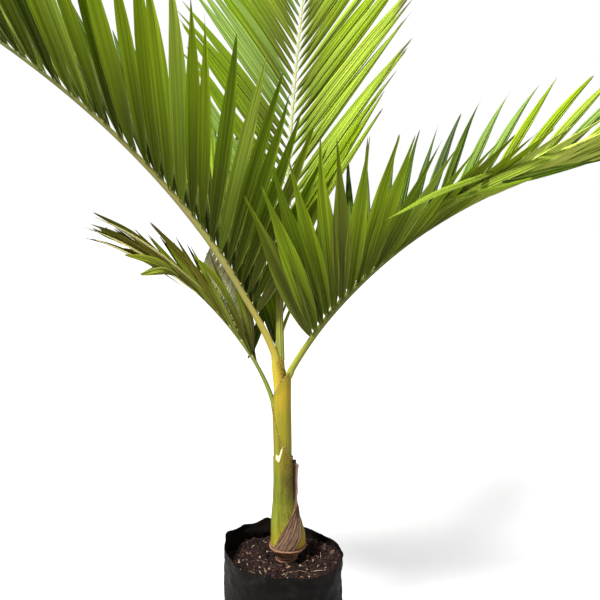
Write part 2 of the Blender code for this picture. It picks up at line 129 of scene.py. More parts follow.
def make_surround():
    """A white sky all round that lights the plant more weakly than it shows."""
    world = bpy.data.worlds.new("surround")
    world.use_nodes = True
    tree = world.node_tree
    sky = tree.nodes["Background"]
    sky.inputs["Color"].default_value = (1, 1, 1, 1)
    ray = tree.nodes.new("ShaderNodeLightPath")
    level = tree.nodes.new("ShaderNodeMapRange")
    level.inputs["To Min"].default_value = SURROUND_LIGHT
    level.inputs["To Max"].default_value = SURROUND_SEEN
    tree.links.new(ray.outputs["Is Camera Ray"], level.inputs["Value"])
    tree.links.new(level.outputs["Result"], sky.inputs["Strength"])
    bpy.context.scene.world = world


make_floor()
make_surround()
for lamp_name, lamp in LAMPS.items():
    make_lamp(lamp_name, lamp)
bpy.context.scene.view_settings.view_transform = "Standard"
print("lamps", len(LAMPS))

# %% [markdown]
# ## Meshes made from nets of points
# Every part of a palm is a skin drawn over rings or strips: a sheath is a tube, a leaflet is a long flat tube,
# a stalk is a tapering one. So one helper joins a net of points into squares, and one gathers many small
# skins, such as all the leaflets of a frond, into a single mesh with one entry for each of its points' marks.
# The marks are plain numbers kept with the points: `flow` says how far along and across the fibres a point
# lies, and the others say where a surface is older, yellower or drier, and where shade or a highlight is
# painted on it.

# %% Net and heap helpers


def unit(v):
    """The direction of a vector."""
    return v / max(float(np.linalg.norm(v)), 1e-12)


def eased(u):
    """A smooth step from 0 to 1."""
    u = np.clip(u, 0.0, 1.0)
    return u * u * (3 - 2 * u)


def net_faces(rows, columns, closed=True):
    """Squares over a net of points; a closed net joins its last column to its first."""
    span = columns if closed else columns - 1
    r, c = np.meshgrid(np.arange(rows - 1), np.arange(span), indexing="ij")
    a = (r * columns + c).ravel()
    b = (r * columns + (c + 1) % columns).ravel()
    return np.stack([a, b, b + columns, a + columns], axis=1).tolist()


class Heap:
    """Many small skins gathered for one piece."""

    def __init__(self):
        self.verts = []
        self.faces = []
        self.picks = []
        self.marks = {}
        self.size = 0

    def add(self, verts, faces, pick=0, **marks):
        """Adds one skin; `pick` is the number of its material."""
        verts = np.asarray(verts, float).reshape(-1, 3)
        self.verts.append(verts)
        self.faces += [tuple(i + self.size for i in face) for face in faces]
        self.picks += [pick] * len(faces) if np.isscalar(pick) else list(pick)
        for name, values in marks.items():
            values = np.asarray(values, float)
            wide = np.broadcast_to(values, (len(verts), *values.shape[1:]) if values.ndim else (len(verts),))
            self.marks.setdefault(name, []).append(wide)
        self.size += len(verts)

    def piece(self, name, materials, sharp=50.0):
        """Makes the mesh object of everything gathered."""
        mesh = bpy.data.meshes.new(name)
        mesh.from_pydata(np.concatenate(self.verts).tolist(), [], self.faces)
        for material in materials:
            mesh.materials.append(material)
        mesh.polygons.foreach_set("material_index", self.picks)
        for mark, values in self.marks.items():
            values = np.concatenate(values).astype(np.float32)
            kind, slot = ("FLOAT_VECTOR", "vector") if values.ndim == 2 else ("FLOAT", "value")
            mesh.attributes.new(mark, kind, "POINT").data.foreach_set(slot, values.ravel())
        mesh.shade_smooth()
        mesh.set_sharp_from_angle(angle=math.radians(sharp))
        obj = bpy.data.objects.new(name, mesh)
        bpy.context.scene.collection.objects.link(obj)
        return obj


def dress(obj, slot, *nodes):
    """Fixes a piece to the plant and hides the solids it stands for; `slot`, its finish's name, is not used."""
    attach(obj, "root")
    if nodes:
        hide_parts(*nodes)
    print(f"{obj.name}: {len(obj.data.polygons)} faces")
    return obj


def rough(x, y, z, scale, seed=0.0):
    """A smooth random height between about -1 and 1, the same on every run."""
    return noise.noise(Vector((x * scale + seed, y * scale - seed, z * scale + 2 * seed)))


# %% [markdown]
# ## Shared effects
# Palm tissue is full of fibres that run one way, so leaf, sheath, husk and wood all need streaks. They also need
# broad blotches where a surface is older or has been stained, and a film of dust where it faces up. Each effect
# is a node group with named values, so that every material can set its own scale.

# %% Node helpers


def node(tree, kind, **settings):
    """A node with some of its settings filled in."""
    made = tree.nodes.new(kind)
    for name, value in settings.items():
        setattr(made, name, value)
    return made


def feed(tree, made, **values):
    """Fills a node's inputs by name, with a number or a wire; a name's spaces are written as _."""
    for name, value in values.items():
        socket = made.inputs[name.replace("_", " ")]
        if isinstance(value, bpy.types.NodeSocket):
            tree.links.new(value, socket)
        else:
            socket.default_value = value
    return made


def blend_colours(tree, factor, low, high):
    """A mix of two colours, each a plain colour or a wire."""
    mix = node(tree, "ShaderNodeMix", data_type="RGBA")
    for index, value in ((0, factor), (6, low), (7, high)):
        if isinstance(value, bpy.types.NodeSocket):
            tree.links.new(value, mix.inputs[index])
        else:
            mix.inputs[index].default_value = (*value, 1) if index else value
    return mix.outputs[2]


def reckon(tree, operation, a, b):
    """One sum on two numbers or wires."""
    made = node(tree, "ShaderNodeMath", operation=operation)
    for index, value in ((0, a), (1, b)):
        if isinstance(value, bpy.types.NodeSocket):
            tree.links.new(value, made.inputs[index])
        else:
            made.inputs[index].default_value = value
    return made.outputs[0]


def spread(tree, value, low, high, first=0.0, last=1.0):
    """Stretches a number from low..high to first..last, and holds it there."""
    made = node(tree, "ShaderNodeMapRange", interpolation_type="SMOOTHSTEP")
    feed(tree, made, Value=value, From_Min=low, From_Max=high, To_Min=first, To_Max=last)
    return made.outputs[0]


def new_group(name, numbers, vectors=(), outputs=("Mask",)):
    """An empty node group with named inputs and outputs."""
    tree = bpy.data.node_groups.new(name, "ShaderNodeTree")
    for label in vectors:
        tree.interface.new_socket(label, in_out="INPUT", socket_type="NodeSocketVector")
    for label, value in numbers.items():
        tree.interface.new_socket(label, in_out="INPUT", socket_type="NodeSocketFloat").default_value = value
    for label in outputs:
        tree.interface.new_socket(label, in_out="OUTPUT", socket_type="NodeSocketFloat")
    return tree, tree.nodes.new("NodeGroupInput"), tree.nodes.new("NodeGroupOutput")


# %% [markdown]
# Streaks are a noise that is squeezed across the fibres and stretched along them. The `flow` mark holds metres
# across and along, so the same values give the same width of fibre on a leaflet and on a sheath.

# %% Streaks along the fibres


def streaks_group():
    """Soft streaks along the flow mark."""
    tree, given, result = new_group("fibre_streaks", {"Across": 600.0, "Along": 8.0, "Contrast": 0.3},
                                    vectors=("Flow",))
    stretch = node(tree, "ShaderNodeCombineXYZ")
    feed(tree, stretch, X=given.outputs["Across"], Y=given.outputs["Along"], Z=40.0)
    scaled = node(tree, "ShaderNodeVectorMath", operation="MULTIPLY")
    tree.links.new(given.outputs["Flow"], scaled.inputs[0])
    tree.links.new(stretch.outputs[0], scaled.inputs[1])
    grain = node(tree, "ShaderNodeTexNoise")
    feed(tree, grain, Vector=scaled.outputs[0], Scale=1.0, Detail=3.0, Roughness=0.6)
    low = reckon(tree, "SUBTRACT", 0.5, given.outputs["Contrast"])
    high = reckon(tree, "ADD", 0.5, given.outputs["Contrast"])
    tree.links.new(spread(tree, grain.outputs["Fac"], low, high), result.inputs["Mask"])
    return tree


STREAKS = streaks_group()

# %% [markdown]
# Blotches and grit are placed in the object's own space, so they stay where they are however the plant is
# turned. Blotches decide where a stain lies, and grit is the fine tooth of soil, cork and dusty film.

# %% Blotches, grit and settled dust


def blotches_group():
    """Large soft patches; Cover is the share of the surface that they take."""
    tree, given, result = new_group("blotches", {"Scale": 12.0, "Cover": 0.5, "Softness": 0.12})
    place = node(tree, "ShaderNodeTexCoord")
    cloud = node(tree, "ShaderNodeTexNoise")
    feed(tree, cloud, Vector=place.outputs["Object"], Scale=given.outputs["Scale"], Detail=4.0, Roughness=0.55)
    middle = reckon(tree, "SUBTRACT", 1.0, given.outputs["Cover"])
    low = reckon(tree, "SUBTRACT", middle, given.outputs["Softness"])
    high = reckon(tree, "ADD", middle, given.outputs["Softness"])
    tree.links.new(spread(tree, cloud.outputs["Fac"], low, high), result.inputs["Mask"])
    return tree


def grit_group():
    """Fine grains of two sizes."""
    tree, given, result = new_group("grit", {"Scale": 400.0, "Sharpness": 0.25})
    place = node(tree, "ShaderNodeTexCoord")
    coarse = node(tree, "ShaderNodeTexVoronoi")
    feed(tree, coarse, Vector=place.outputs["Object"], Scale=given.outputs["Scale"])
    fine = node(tree, "ShaderNodeTexNoise")
    feed(tree, fine, Vector=place.outputs["Object"], Scale=given.outputs["Scale"], Detail=5.0)
    both = reckon(tree, "MULTIPLY", coarse.outputs["Distance"], fine.outputs["Fac"])
    tree.links.new(spread(tree, both, 0.0, reckon(tree, "ADD", given.outputs["Sharpness"], 0.1)),
                   result.inputs["Mask"])
    return tree


def dust_group():
    """Dust that settles on faces that look up, broken by a cloud."""
    tree, given, result = new_group("settled_dust", {"Amount": 0.4, "Scale": 30.0})
    facing = node(tree, "ShaderNodeNewGeometry")
    apart = node(tree, "ShaderNodeSeparateXYZ")
    tree.links.new(facing.outputs["Normal"], apart.inputs[0])
    place = node(tree, "ShaderNodeTexCoord")
    cloud = node(tree, "ShaderNodeTexNoise")
    feed(tree, cloud, Vector=place.outputs["Object"], Scale=given.outputs["Scale"], Detail=5.0)
    up = spread(tree, apart.outputs["Z"], -0.6, 1.0)
    patchy = spread(tree, cloud.outputs["Fac"], 0.35, 0.75)
    laid = reckon(tree, "MULTIPLY", reckon(tree, "MULTIPLY", up, patchy), given.outputs["Amount"])
    tree.links.new(laid, result.inputs["Mask"])
    return tree


BLOTCHES = blotches_group()
GRIT = grit_group()
DUST = dust_group()
print("node groups", [g.name for g in bpy.data.node_groups])

# %% Use the effects in a material


def start_material(name, roughness, **constants):
    """A material with its shader; what is the same all over is set on the shader itself."""
    material = bpy.data.materials.new(name)
    material.use_nodes = True
    tree = material.node_tree
    shader = tree.nodes["Principled BSDF"]
    shader.inputs["Roughness"].default_value = roughness
    for label, value in constants.items():
        shader.inputs[label.replace("_", " ")].default_value = value
    return material, tree, shader


def effect(tree, group, **values):
    """The mask that a shared effect gives."""
    made = node(tree, "ShaderNodeGroup", node_tree=group)
    return feed(tree, made, **values).outputs["Mask"]


def mark(tree, name):
    """A number kept with the mesh's points."""
    return node(tree, "ShaderNodeAttribute", attribute_name=name).outputs["Fac"]


def flow_mark(tree):
    """Metres across and along the fibres."""
    return node(tree, "ShaderNodeAttribute", attribute_name="flow").outputs["Vector"]


def relief(tree, shader, height, distance, strength=1.0):
    """Raises a mask as a bump."""
    bump = node(tree, "ShaderNodeBump")
    feed(tree, bump, Height=height, Distance=distance, Strength=strength)
    tree.links.new(bump.outputs["Normal"], shader.inputs["Normal"])


def paint(tree, shader, colour):
    """Gives the shader its varying colour."""
    tree.links.new(colour, shader.inputs["Base Color"])


# %% [markdown]
# ## The bag
# A nursery grow bag is a tube of black polythene film, filled with soil until it stands up by itself. The
# film is slack, so it creases across where the soil has settled and its free rim rucks and flops. A cloth
# simulation would give loose cloth; this film is held out by the soil, so its form is a turned profile with
# folds added by formula, and finer crinkles from a noise that is stretched round the bag.

# %% Bag sizes, as on the solid
BAG_RADIUS = 0.1505
BAG_FOOT_RADIUS = 0.1455
BAG_HEIGHT = 0.318
BAG_RIM_TILT = 0.018
BAG_CREASE = 0.0030
SOIL_LEVEL = 0.292
SOIL_MOUND = 0.006
SOIL_FLAT_RADIUS = 0.050


def bag_radius(angle, z):
    """The film's outer radius: slack creases round a full cylinder of soil."""
    height = min(max(z / BAG_HEIGHT, 0.0), 1.0)
    base = BAG_FOOT_RADIUS + (BAG_RADIUS - BAG_FOOT_RADIUS) * float(eased(height * 2.2))
    slack = 0.45 * math.sin(5 * angle + 7 * height) + 0.35 * math.sin(9 * angle - 9 * height + 1.0)
    fold = 0.5 * math.sin(3 * angle + 14 * height + 0.6) * float(eased(height * 3))
    lip = 0.0035 * float(eased((height - 0.86) / 0.14)) * math.sin(2 * angle + 0.4)
    return base + BAG_CREASE * (slack + fold) + lip


def bag_rim(angle):
    """The open edge: higher on the left, with two rucked folds at the back."""
    tilt = -BAG_RIM_TILT * math.cos(angle) + 0.006 * math.sin(angle)
    ruck = 0.013 * math.exp(-((angle - 1.92) / 0.15) ** 2)
    second = 0.006 * math.exp(-((angle - 2.40) / 0.16) ** 2)
    corner = 0.014 * math.exp(-((angle - 3.00) / 0.30) ** 2)
    wave = 0.002 * math.sin(4 * angle + 0.8)
    return BAG_HEIGHT + tilt + ruck + second + corner + wave


# %% [markdown]
# The crinkles are short, sharp ridges: the folded value of a noise, `1 - |noise|`, has a crease where the
# noise crosses zero. Two sizes are added, wide ones that run level and fine ones that run anywhere.

# %% Crinkled film
FILM = 0.0009
CRINKLE_WIDE = 0.0036
CRINKLE_FINE = 0.0008
BAG_SIDES = 220
BAG_LEVELS = 96
RIM_HEM = 0.0016


def crinkle(angle, z):
    """How far the film stands out or in at a point, in metres."""
    x, y = math.cos(angle), math.sin(angle)
    level = 1 - 2.4 * abs(noise.noise(Vector((x * 1.7, y * 1.7, z * 27 + 0.8 * x))))
    slant = 1 - 2.4 * abs(noise.noise(Vector((x * 3.1 + 5, y * 3.1, z * 30 - 2 * y))))
    fine = 1 - 2.6 * abs(noise.noise(Vector((x * 9 + z * 30, y * 9, z * 70 + 3))))
    calm = 0.25 + 0.75 * float(eased(z / 0.05))
    return calm * (CRINKLE_WIDE * (0.6 * level + 0.4 * slant - 0.5) + CRINKLE_FINE * (fine - 0.5))


def bag_point(angle, share, inset):
    """A point of the film: share 0 is the foot's edge and 1 is the rim."""
    foot = 0.004
    rim = bag_rim(angle)
    z = foot + (rim - foot) * share
    radius = bag_radius(angle, z) + crinkle(angle, z) - inset
    flop = float(eased((share - 0.90) / 0.10))
    wave = 0.0014 * rough(math.cos(angle), math.sin(angle), 0, 6)
    radius += flop * (0.0018 * math.sin(11 * angle + 2.0) + wave)
    return radius * math.cos(angle), radius * math.sin(angle), z


def bag_skin():
    """Underside, outer face, hemmed rim and inner face down to below the soil."""
    angles = np.linspace(0, 2 * math.pi, BAG_SIDES, endpoint=False)
    shares = np.linspace(0, 1, BAG_LEVELS) ** 0.94
    rows = []
    for part in (0.0, 0.35, 0.72, 0.93):
        rows.append([(part * BAG_FOOT_RADIUS * math.cos(a), part * BAG_FOOT_RADIUS * math.sin(a), 0.0)
                     for a in angles])
    rows += [[bag_point(a, s, 0.0) for a in angles] for s in shares]
    rows.append([bag_point(a, 1.0 + RIM_HEM / BAG_HEIGHT, FILM * 0.5) for a in angles])
    inner = [s for s in reversed(shares) if s > 0.80]
    rows += [[bag_point(a, s, FILM) for a in angles] for s in inner]
    return np.array(rows), angles


def make_bag(materials):
    """The film as one piece."""
    rows, angles = bag_skin()
    count, sides = rows.shape[:2]
    flow = np.zeros((count, sides, 3))
    flow[..., 0] = angles[None, :] * BAG_RADIUS
    flow[..., 1] = rows[..., 2]
    heap = Heap()
    heap.add(rows.reshape(-1, 3), net_faces(count, sides), flow=flow.reshape(-1, 3))
    return heap.piece("bag_film", materials, sharp=80)


# %% [markdown]
# The film is nearly black with a soft plastic sheen. Handling has scuffed it grey in patches, and splashed
# soil leaves a thin brown haze in broad patches.

# %% Black film material


def film_material():
    """Scuffed black polythene with a brown haze."""
    material, tree, shader = start_material("black_film", 0.50, Specular_IOR_Level=0.12)
    scuffs = effect(tree, BLOTCHES, Scale=26.0, Cover=0.42, Softness=0.10)
    haze = effect(tree, BLOTCHES, Scale=6.0, Cover=0.45, Softness=0.20)
    dust = effect(tree, DUST, Amount=0.55, Scale=60.0)
    colour = blend_colours(tree, scuffs, (0.0020, 0.0019, 0.0020), (0.0080, 0.0072, 0.0068))
    colour = blend_colours(tree, reckon(tree, "MULTIPLY", haze, 0.55), colour, (0.019, 0.0125, 0.0095))
    colour = blend_colours(tree, reckon(tree, "MULTIPLY", dust, 0.4), colour, (0.045, 0.032, 0.024))
    paint(tree, shader, colour)
    tree.links.new(spread(tree, scuffs, 0.0, 1.0, 0.46, 0.66), shader.inputs["Roughness"])
    weave = effect(tree, GRIT, Scale=900.0, Sharpness=0.35)
    relief(tree, shader, weave, 0.00025, 0.6)
    return material


dress(make_bag([film_material()]), "bag_film", "grow_bag")

# %% [markdown]
# ## The soil
# The bag is filled with dark red-brown potting soil. Its surface is a bed with gentle lumps, and what makes it
# read as soil is the loose crumb on top: thousands of small broken grains, a few larger clods, and bits of
# pale dry straw and bark. Grains are made as dented twelve-sided balls in several sizes, half sunk in the bed.

# %% Soil bed
AXIS_HEIGHTS = (0.29, 0.33, 0.36, 0.40, 0.43, 0.46, 0.53, 0.60, 0.70, 0.74, 0.78, 0.82, 1.00)
AXIS_LEAN = (0.0060, 0.0115, 0.0116, 0.0068, 0.0028, 0.0003, -0.0004, -0.0008, -0.0030, -0.0058, -0.0098,
             -0.0128, -0.0160)


def axis_x(z):
    """How far the column's middle leans sideways at a height."""
    return np.interp(z, AXIS_HEIGHTS, AXIS_LEAN)


def soil_height(x, y):
    """The soil's top: the solid's gentle lumps with finer ones on them."""
    away = math.hypot(x - float(axis_x(SOIL_LEVEL)), y)
    uneven = 0.5 * math.sin(31 * x + 1.0) * math.cos(27 * y) + 0.5 * math.sin(55 * y + 38 * x)
    broad = SOIL_MOUND * (uneven - 0.4) * float(eased((away - SOIL_FLAT_RADIUS) / 0.05))
    lumps = 0.0026 * rough(x, y, 0, 38) + 0.0016 * rough(x, y, 0.3, 90) + 0.0008 * rough(x, y, 0.7, 210)
    return SOIL_LEVEL + broad + lumps


def make_soil_bed(material):
    """A disc of soil that runs out to the film and a short way down inside it."""
    sides = 180
    shares = np.concatenate([np.linspace(0.02, 0.985, 74), [1.0]])
    angles = np.linspace(0, 2 * math.pi, sides, endpoint=False)
    rows = []
    for share in shares:
        row = []
        for a in angles:
            reach = (bag_radius(a, SOIL_LEVEL) + crinkle(a, SOIL_LEVEL) - 2.2 * FILM) * share
            x, y = reach * math.cos(a), reach * math.sin(a)
            row.append((x, y, soil_height(x, y)))
        rows.append(row)
    rows.append([(x * 0.97, y * 0.97, z - 0.014) for x, y, z in rows[-1]])
    heap = Heap()
    heap.add(rows, net_faces(len(rows), sides) + [tuple(reversed(range(sides)))])
    return heap.piece("soil_bed", [material], sharp=80)


def soil_material(name, dark, light):
    """Damp crumbly earth: dark with redder and paler grains."""
    material, tree, shader = start_material(name, 0.93, Specular_IOR_Level=0.25)
    patches = effect(tree, BLOTCHES, Scale=22.0, Cover=0.48, Softness=0.16)
    grains = effect(tree, GRIT, Scale=330.0, Sharpness=0.22)
    colour = blend_colours(tree, patches, dark, light)
    colour = blend_colours(tree, spread(tree, grains, 0.0, 0.6, 0.75, 0.0), colour, (0.008, 0.0045, 0.0035))
    paint(tree, shader, colour)
    relief(tree, shader, grains, 0.0012, 0.9)
    return material


SOIL_TONES = [
    soil_material("soil_dark", (0.007, 0.0035, 0.0028), (0.021, 0.009, 0.0065)),
    soil_material("soil_red", (0.022, 0.0080, 0.0058), (0.052, 0.019, 0.013)),
    soil_material("soil_pale", (0.070, 0.042, 0.028), (0.135, 0.090, 0.060)),
]
dress(make_soil_bed(SOIL_TONES[0]), "potting_soil", "soil")

# %% Crumbs and clods
CRUMBS = 5200
CRUMB_SIZES = (0.0008, 0.0042)
CLOD_SHARE = 0.035
CLOD_SIZES = (0.0045, 0.0085)
FOOT_CLEAR = 0.025


def ball_points():
    """The corners and faces of a twenty-sided ball."""
    g = (1 + 5 ** 0.5) / 2
    corners = [(-1, g, 0), (1, g, 0), (-1, -g, 0), (1, -g, 0), (0, -1, g), (0, 1, g), (0, -1, -g), (0, 1, -g),
               (g, 0, -1), (g, 0, 1), (-g, 0, -1), (-g, 0, 1)]
    faces = [(0, 11, 5), (0, 5, 1), (0, 1, 7), (0, 7, 10), (0, 10, 11), (1, 5, 9), (5, 11, 4), (11, 10, 2),
             (10, 7, 6), (7, 1, 8), (3, 9, 4), (3, 4, 2), (3, 2, 6), (3, 6, 8), (3, 8, 9), (4, 9, 5),
             (2, 4, 11), (6, 2, 10), (8, 6, 7), (9, 8, 1)]
    return np.array(corners) / math.hypot(1, g), faces


def soil_spot(rng, clear=FOOT_CLEAR):
    """A random place on the soil, clear of the palm's foot."""
    middle = float(axis_x(SOIL_LEVEL))
    while True:
        angle = rng.uniform(0, 2 * math.pi)
        reach = (bag_radius(angle, SOIL_LEVEL) - 0.006) * math.sqrt(rng.uniform(0, 1))
        x, y = reach * math.cos(angle), reach * math.sin(angle)
        if math.hypot(x - middle, y) > clear:
            return x, y


def make_crumbs(materials):
    """Loose grains of soil on the bed."""
    rng = np.random.default_rng(11)
    corners, faces = ball_points()
    heap = Heap()
    for _ in range(CRUMBS):
        x, y = soil_spot(rng)
        low, high = CLOD_SIZES if rng.uniform() < CLOD_SHARE else CRUMB_SIZES
        size = low + (high - low) * rng.uniform() ** 2.2
        dents = 1 + rng.uniform(-0.34, 0.30, (len(corners), 1))
        shape = corners * dents * size * rng.uniform(0.65, 1.25, 3)
        turn = rng.uniform(0, 2 * math.pi)
        spin = np.array([[math.cos(turn), -math.sin(turn), 0], [math.sin(turn), math.cos(turn), 0], [0, 0, 1]])
        tone = rng.choice(3, p=(0.60, 0.36, 0.04))
        heap.add(shape @ spin.T + (x, y, soil_height(x, y) + 0.25 * size), faces, int(tone))
    return heap.piece("soil_crumbs", materials, sharp=35)


dress(make_crumbs(SOIL_TONES), "potting_soil")

# %% [markdown]
# Dry litter is what catches the light on the soil: split straws, curled shreds of old leaf base and flat chips
# of bark. A straw is a thin bent ribbon that lies on the bed; a chip is a short wide one.

# %% Straw and bark litter
STRAWS = 40
CHIPS = 56


def litter_material(name, low, high):
    """Dry plant matter with faint fibres."""
    material, tree, shader = start_material(name, 0.85, Specular_IOR_Level=0.3)
    fibres = effect(tree, STREAKS, Flow=flow_mark(tree), Across=1800.0, Along=60.0, Contrast=0.25)
    paint(tree, shader, blend_colours(tree, fibres, low, high))
    relief(tree, shader, fibres, 0.0003)
    return material


def ribbon(rng, x, y, length, width, curl, lift):
    """A thin curled strip lying on the soil."""
    steps = 9
    heading = rng.uniform(0, 2 * math.pi)
    bend = rng.uniform(-curl, curl) / steps
    thick = 0.00045
    tilt = rng.uniform(-0.5, 0.5)
    rows = []
    flow = []
    for k in range(steps + 1):
        share = k / steps
        half = width * math.sin(math.pi * (0.08 + 0.86 * share))
        side = np.array([-math.sin(heading), math.cos(heading), tilt]) * half
        middle = np.array([x, y, soil_height(x, y) + lift * math.sin(math.pi * share) + 0.0012])
        up = np.array([0, 0, thick])
        rows.append([middle - side, middle - up, middle + side, middle + up])
        flow.append([(k * width, share * length, lift * 90) for k in (-1, 0, 1, 0)])
        x += math.cos(heading) * length / steps
        y += math.sin(heading) * length / steps
        heading += bend
    caps = [(3, 2, 1, 0), tuple(4 * steps + j for j in range(4))]
    return np.array(rows).reshape(-1, 3), net_faces(steps + 1, 4) + caps, np.array(flow).reshape(-1, 3)


def make_litter(materials):
    """Straws and chips strewn over the soil inside the rim."""
    rng = np.random.default_rng(23)
    heap = Heap()
    for k in range(STRAWS + CHIPS):
        straw = k < STRAWS
        x, y = soil_spot(rng, 0.045)
        x, y = x * 0.86, y * 0.86
        length = rng.uniform(0.014, 0.044) if straw else rng.uniform(0.005, 0.012)
        width = rng.uniform(0.0005, 0.0012) if straw else rng.uniform(0.0014, 0.0032)
        curl = 0.9 if straw else 0.8
        verts, faces, flow = ribbon(rng, x, y, length, width, curl, rng.uniform(0.001, 0.005))
        inside = np.hypot(verts[:, 0], verts[:, 1]).max() < BAG_RADIUS - 0.008
        away = np.hypot(verts[:, 0] - float(axis_x(SOIL_LEVEL)), verts[:, 1]).min() > 0.030
        if inside and away:
            heap.add(verts, faces, int(rng.choice(len(materials), p=(0.40, 0.35, 0.25))), flow=flow)
    return heap.piece("dry_litter", materials, sharp=50)


LITTER_TONES = [
    litter_material("straw_pale", (0.36, 0.27, 0.15), (0.52, 0.42, 0.27)),
    litter_material("straw_brown", (0.15, 0.085, 0.050), (0.27, 0.17, 0.10)),
    litter_material("bark_dark", (0.045, 0.024, 0.016), (0.10, 0.055, 0.036)),
]
dress(make_litter(LITTER_TONES), "potting_soil")

# %% [markdown]
# ## The foot
# The palm stands on a short ringed foot. Each ring is the scar of a leaf that has fallen: a raised, corky,
# copper-brown band with a groove under it, which the material darkens as painted shade. The topmost ring is
# the widest, and the green leaf bases spring from it. Rings are a profile turned round the axis, made uneven
# so that no two stretches match.

# %% Ringed foot
FOOT_RING = 0.327
FOOT_HEIGHTS = (0.284, 0.292, 0.300, 0.308, 0.315, 0.320, 0.3245, 0.3285, 0.3330, 0.3370, 0.3385)
FOOT_RADII = (0.0275, 0.0250, 0.0262, 0.0285, 0.0320, 0.0375, 0.0432, 0.0458, 0.0454, 0.0448, 0.0420)
RING_HIGH = 0.0088
RING_DEEP = 0.0046


def foot_point(angle, z):
    """A point of the foot's corky skin."""
    radius = float(np.interp(z, FOOT_HEIGHTS, FOOT_RADII))
    x, y = math.cos(angle), math.sin(angle)
    sway = 0.0015 * rough(x, y, z, 1.6) + 0.0014 * rough(x, y, 0, 5)
    roll = abs(math.sin((z + 0.0020 * rough(x, y, 0, 3)) * math.pi / RING_HIGH))
    rings = RING_DEEP * (roll ** 0.7 - 0.6)
    cork = 0.0006 * rough(x * 0.03, y * 0.03, z, 420) + 0.0005 * rough(x, y, z * 20, 16)
    reach = radius + sway + rings * float(eased((z - 0.288) / 0.01)) + cork
    return float(axis_x(z)) + reach * x, reach * y, z + 0.0010 * rough(x, y, z * 8, 2.2)


def make_foot(material):
    """The turned, uneven foot."""
    sides = 168
    heights = np.linspace(FOOT_HEIGHTS[0], FOOT_HEIGHTS[-1], 62)
    angles = np.linspace(0, 2 * math.pi, sides, endpoint=False)
    rows = np.array([[foot_point(a, z) for a in angles] for z in heights])
    flow = np.zeros((len(heights), sides, 3))
    flow[..., 0] = heights[:, None]
    flow[..., 1] = angles[None, :] * 0.03
    # Painted shade: this mark darkens the grooves between the ring crests.
    groove_shade = 1 - np.abs(np.sin(heights * math.pi / RING_HIGH)) ** 0.8
    tone = np.repeat(groove_shade[:, None], sides, axis=1)
    heap = Heap()
    caps = [tuple(reversed(range(sides))), tuple((len(heights) - 1) * sides + j for j in range(sides))]
    heap.add(rows.reshape(-1, 3), net_faces(len(heights), sides) + caps, flow=flow.reshape(-1, 3),
             tone=tone.ravel())
    return heap.piece("ringed_foot", [material], sharp=70)


def cork_material():
    """Copper-brown cork, darkened in the grooves as painted shade and pale on the ring crests."""
    material, tree, shader = start_material("ringed_cork", 0.74, Specular_IOR_Level=0.35)
    level = effect(tree, STREAKS, Flow=flow_mark(tree), Across=900.0, Along=60.0, Contrast=0.28)
    patches = effect(tree, BLOTCHES, Scale=40.0, Cover=0.5, Softness=0.14)
    grains = effect(tree, GRIT, Scale=520.0, Sharpness=0.25)
    colour = blend_colours(tree, level, (0.130, 0.052, 0.028), (0.34, 0.150, 0.076))
    colour = blend_colours(tree, reckon(tree, "MULTIPLY", patches, 0.4), colour, (0.42, 0.26, 0.15))
    # The grooves are darkened here as painted shade.
    dark = reckon(tree, "MULTIPLY", spread(tree, mark(tree, "tone"), 0.30, 0.9), 0.9)
    colour = blend_colours(tree, dark, colour, (0.045, 0.018, 0.011))
    paint(tree, shader, colour)
    relief(tree, shader, reckon(tree, "ADD", level, grains), 0.0006, 0.9)
    return material


dress(make_foot(cork_material()), "ringed_wood", "trunk")

# %% [markdown]
# ## Leaf bases round the column
# What looks like a green trunk is a stack of leaf bases, each a tube that wraps the younger ones inside it.
# Their skin is smooth and waxy, yellow where it was last uncovered, with fine lengthwise ribs. Each tube
# ends in a slanting, fibrous brown margin, and climbs on one side into the leaf's own stalk.
# The tubes repeat the solid's rule. Marks say how near a point is to the torn margin and where it is yellow.

# %% Outer leaf base
OUTER_HEIGHTS = (0.328, 0.345, 0.366, 0.396, 0.420, 0.450, 0.500, 0.600)
OUTER_RADII = (0.0430, 0.0442, 0.0430, 0.0388, 0.0334, 0.0276, 0.0248, 0.0250)
TEAR_MIDDLE = 4.30
TEAR_WIDTH = 0.56
TEAR_DEEP = 0.021


def outer_radius(z):
    """The oldest green base: a wide foot that narrows quickly to the column."""
    return np.interp(z, OUTER_HEIGHTS, OUTER_RADII)


def outer_top(angle):
    """Its torn upper edge: a broad peak in front with a sharp tip, a small tooth and a notch on the left."""
    peak = 0.031 * math.exp(-((angle - 4.79) / 0.56) ** 2) + 0.009 * math.exp(-((angle - 4.79) / 0.12) ** 2)
    notch = -0.006 * math.exp(-((angle - 4.34) / 0.13) ** 2)
    tooth = 0.006 * math.exp(-((angle - 4.02) / 0.12) ** 2)
    return 0.563 + peak + notch + tooth


def tube_net(levels, angles, point):
    """A tube's outer skin, its lip and its inner skin from a rule that places one point."""
    outside = [[point(a, s, 0.0) for a in angles] for s in levels]
    inside = [[point(a, s, 1.0) for a in angles] for s in reversed(levels)]
    return np.array(outside + inside)


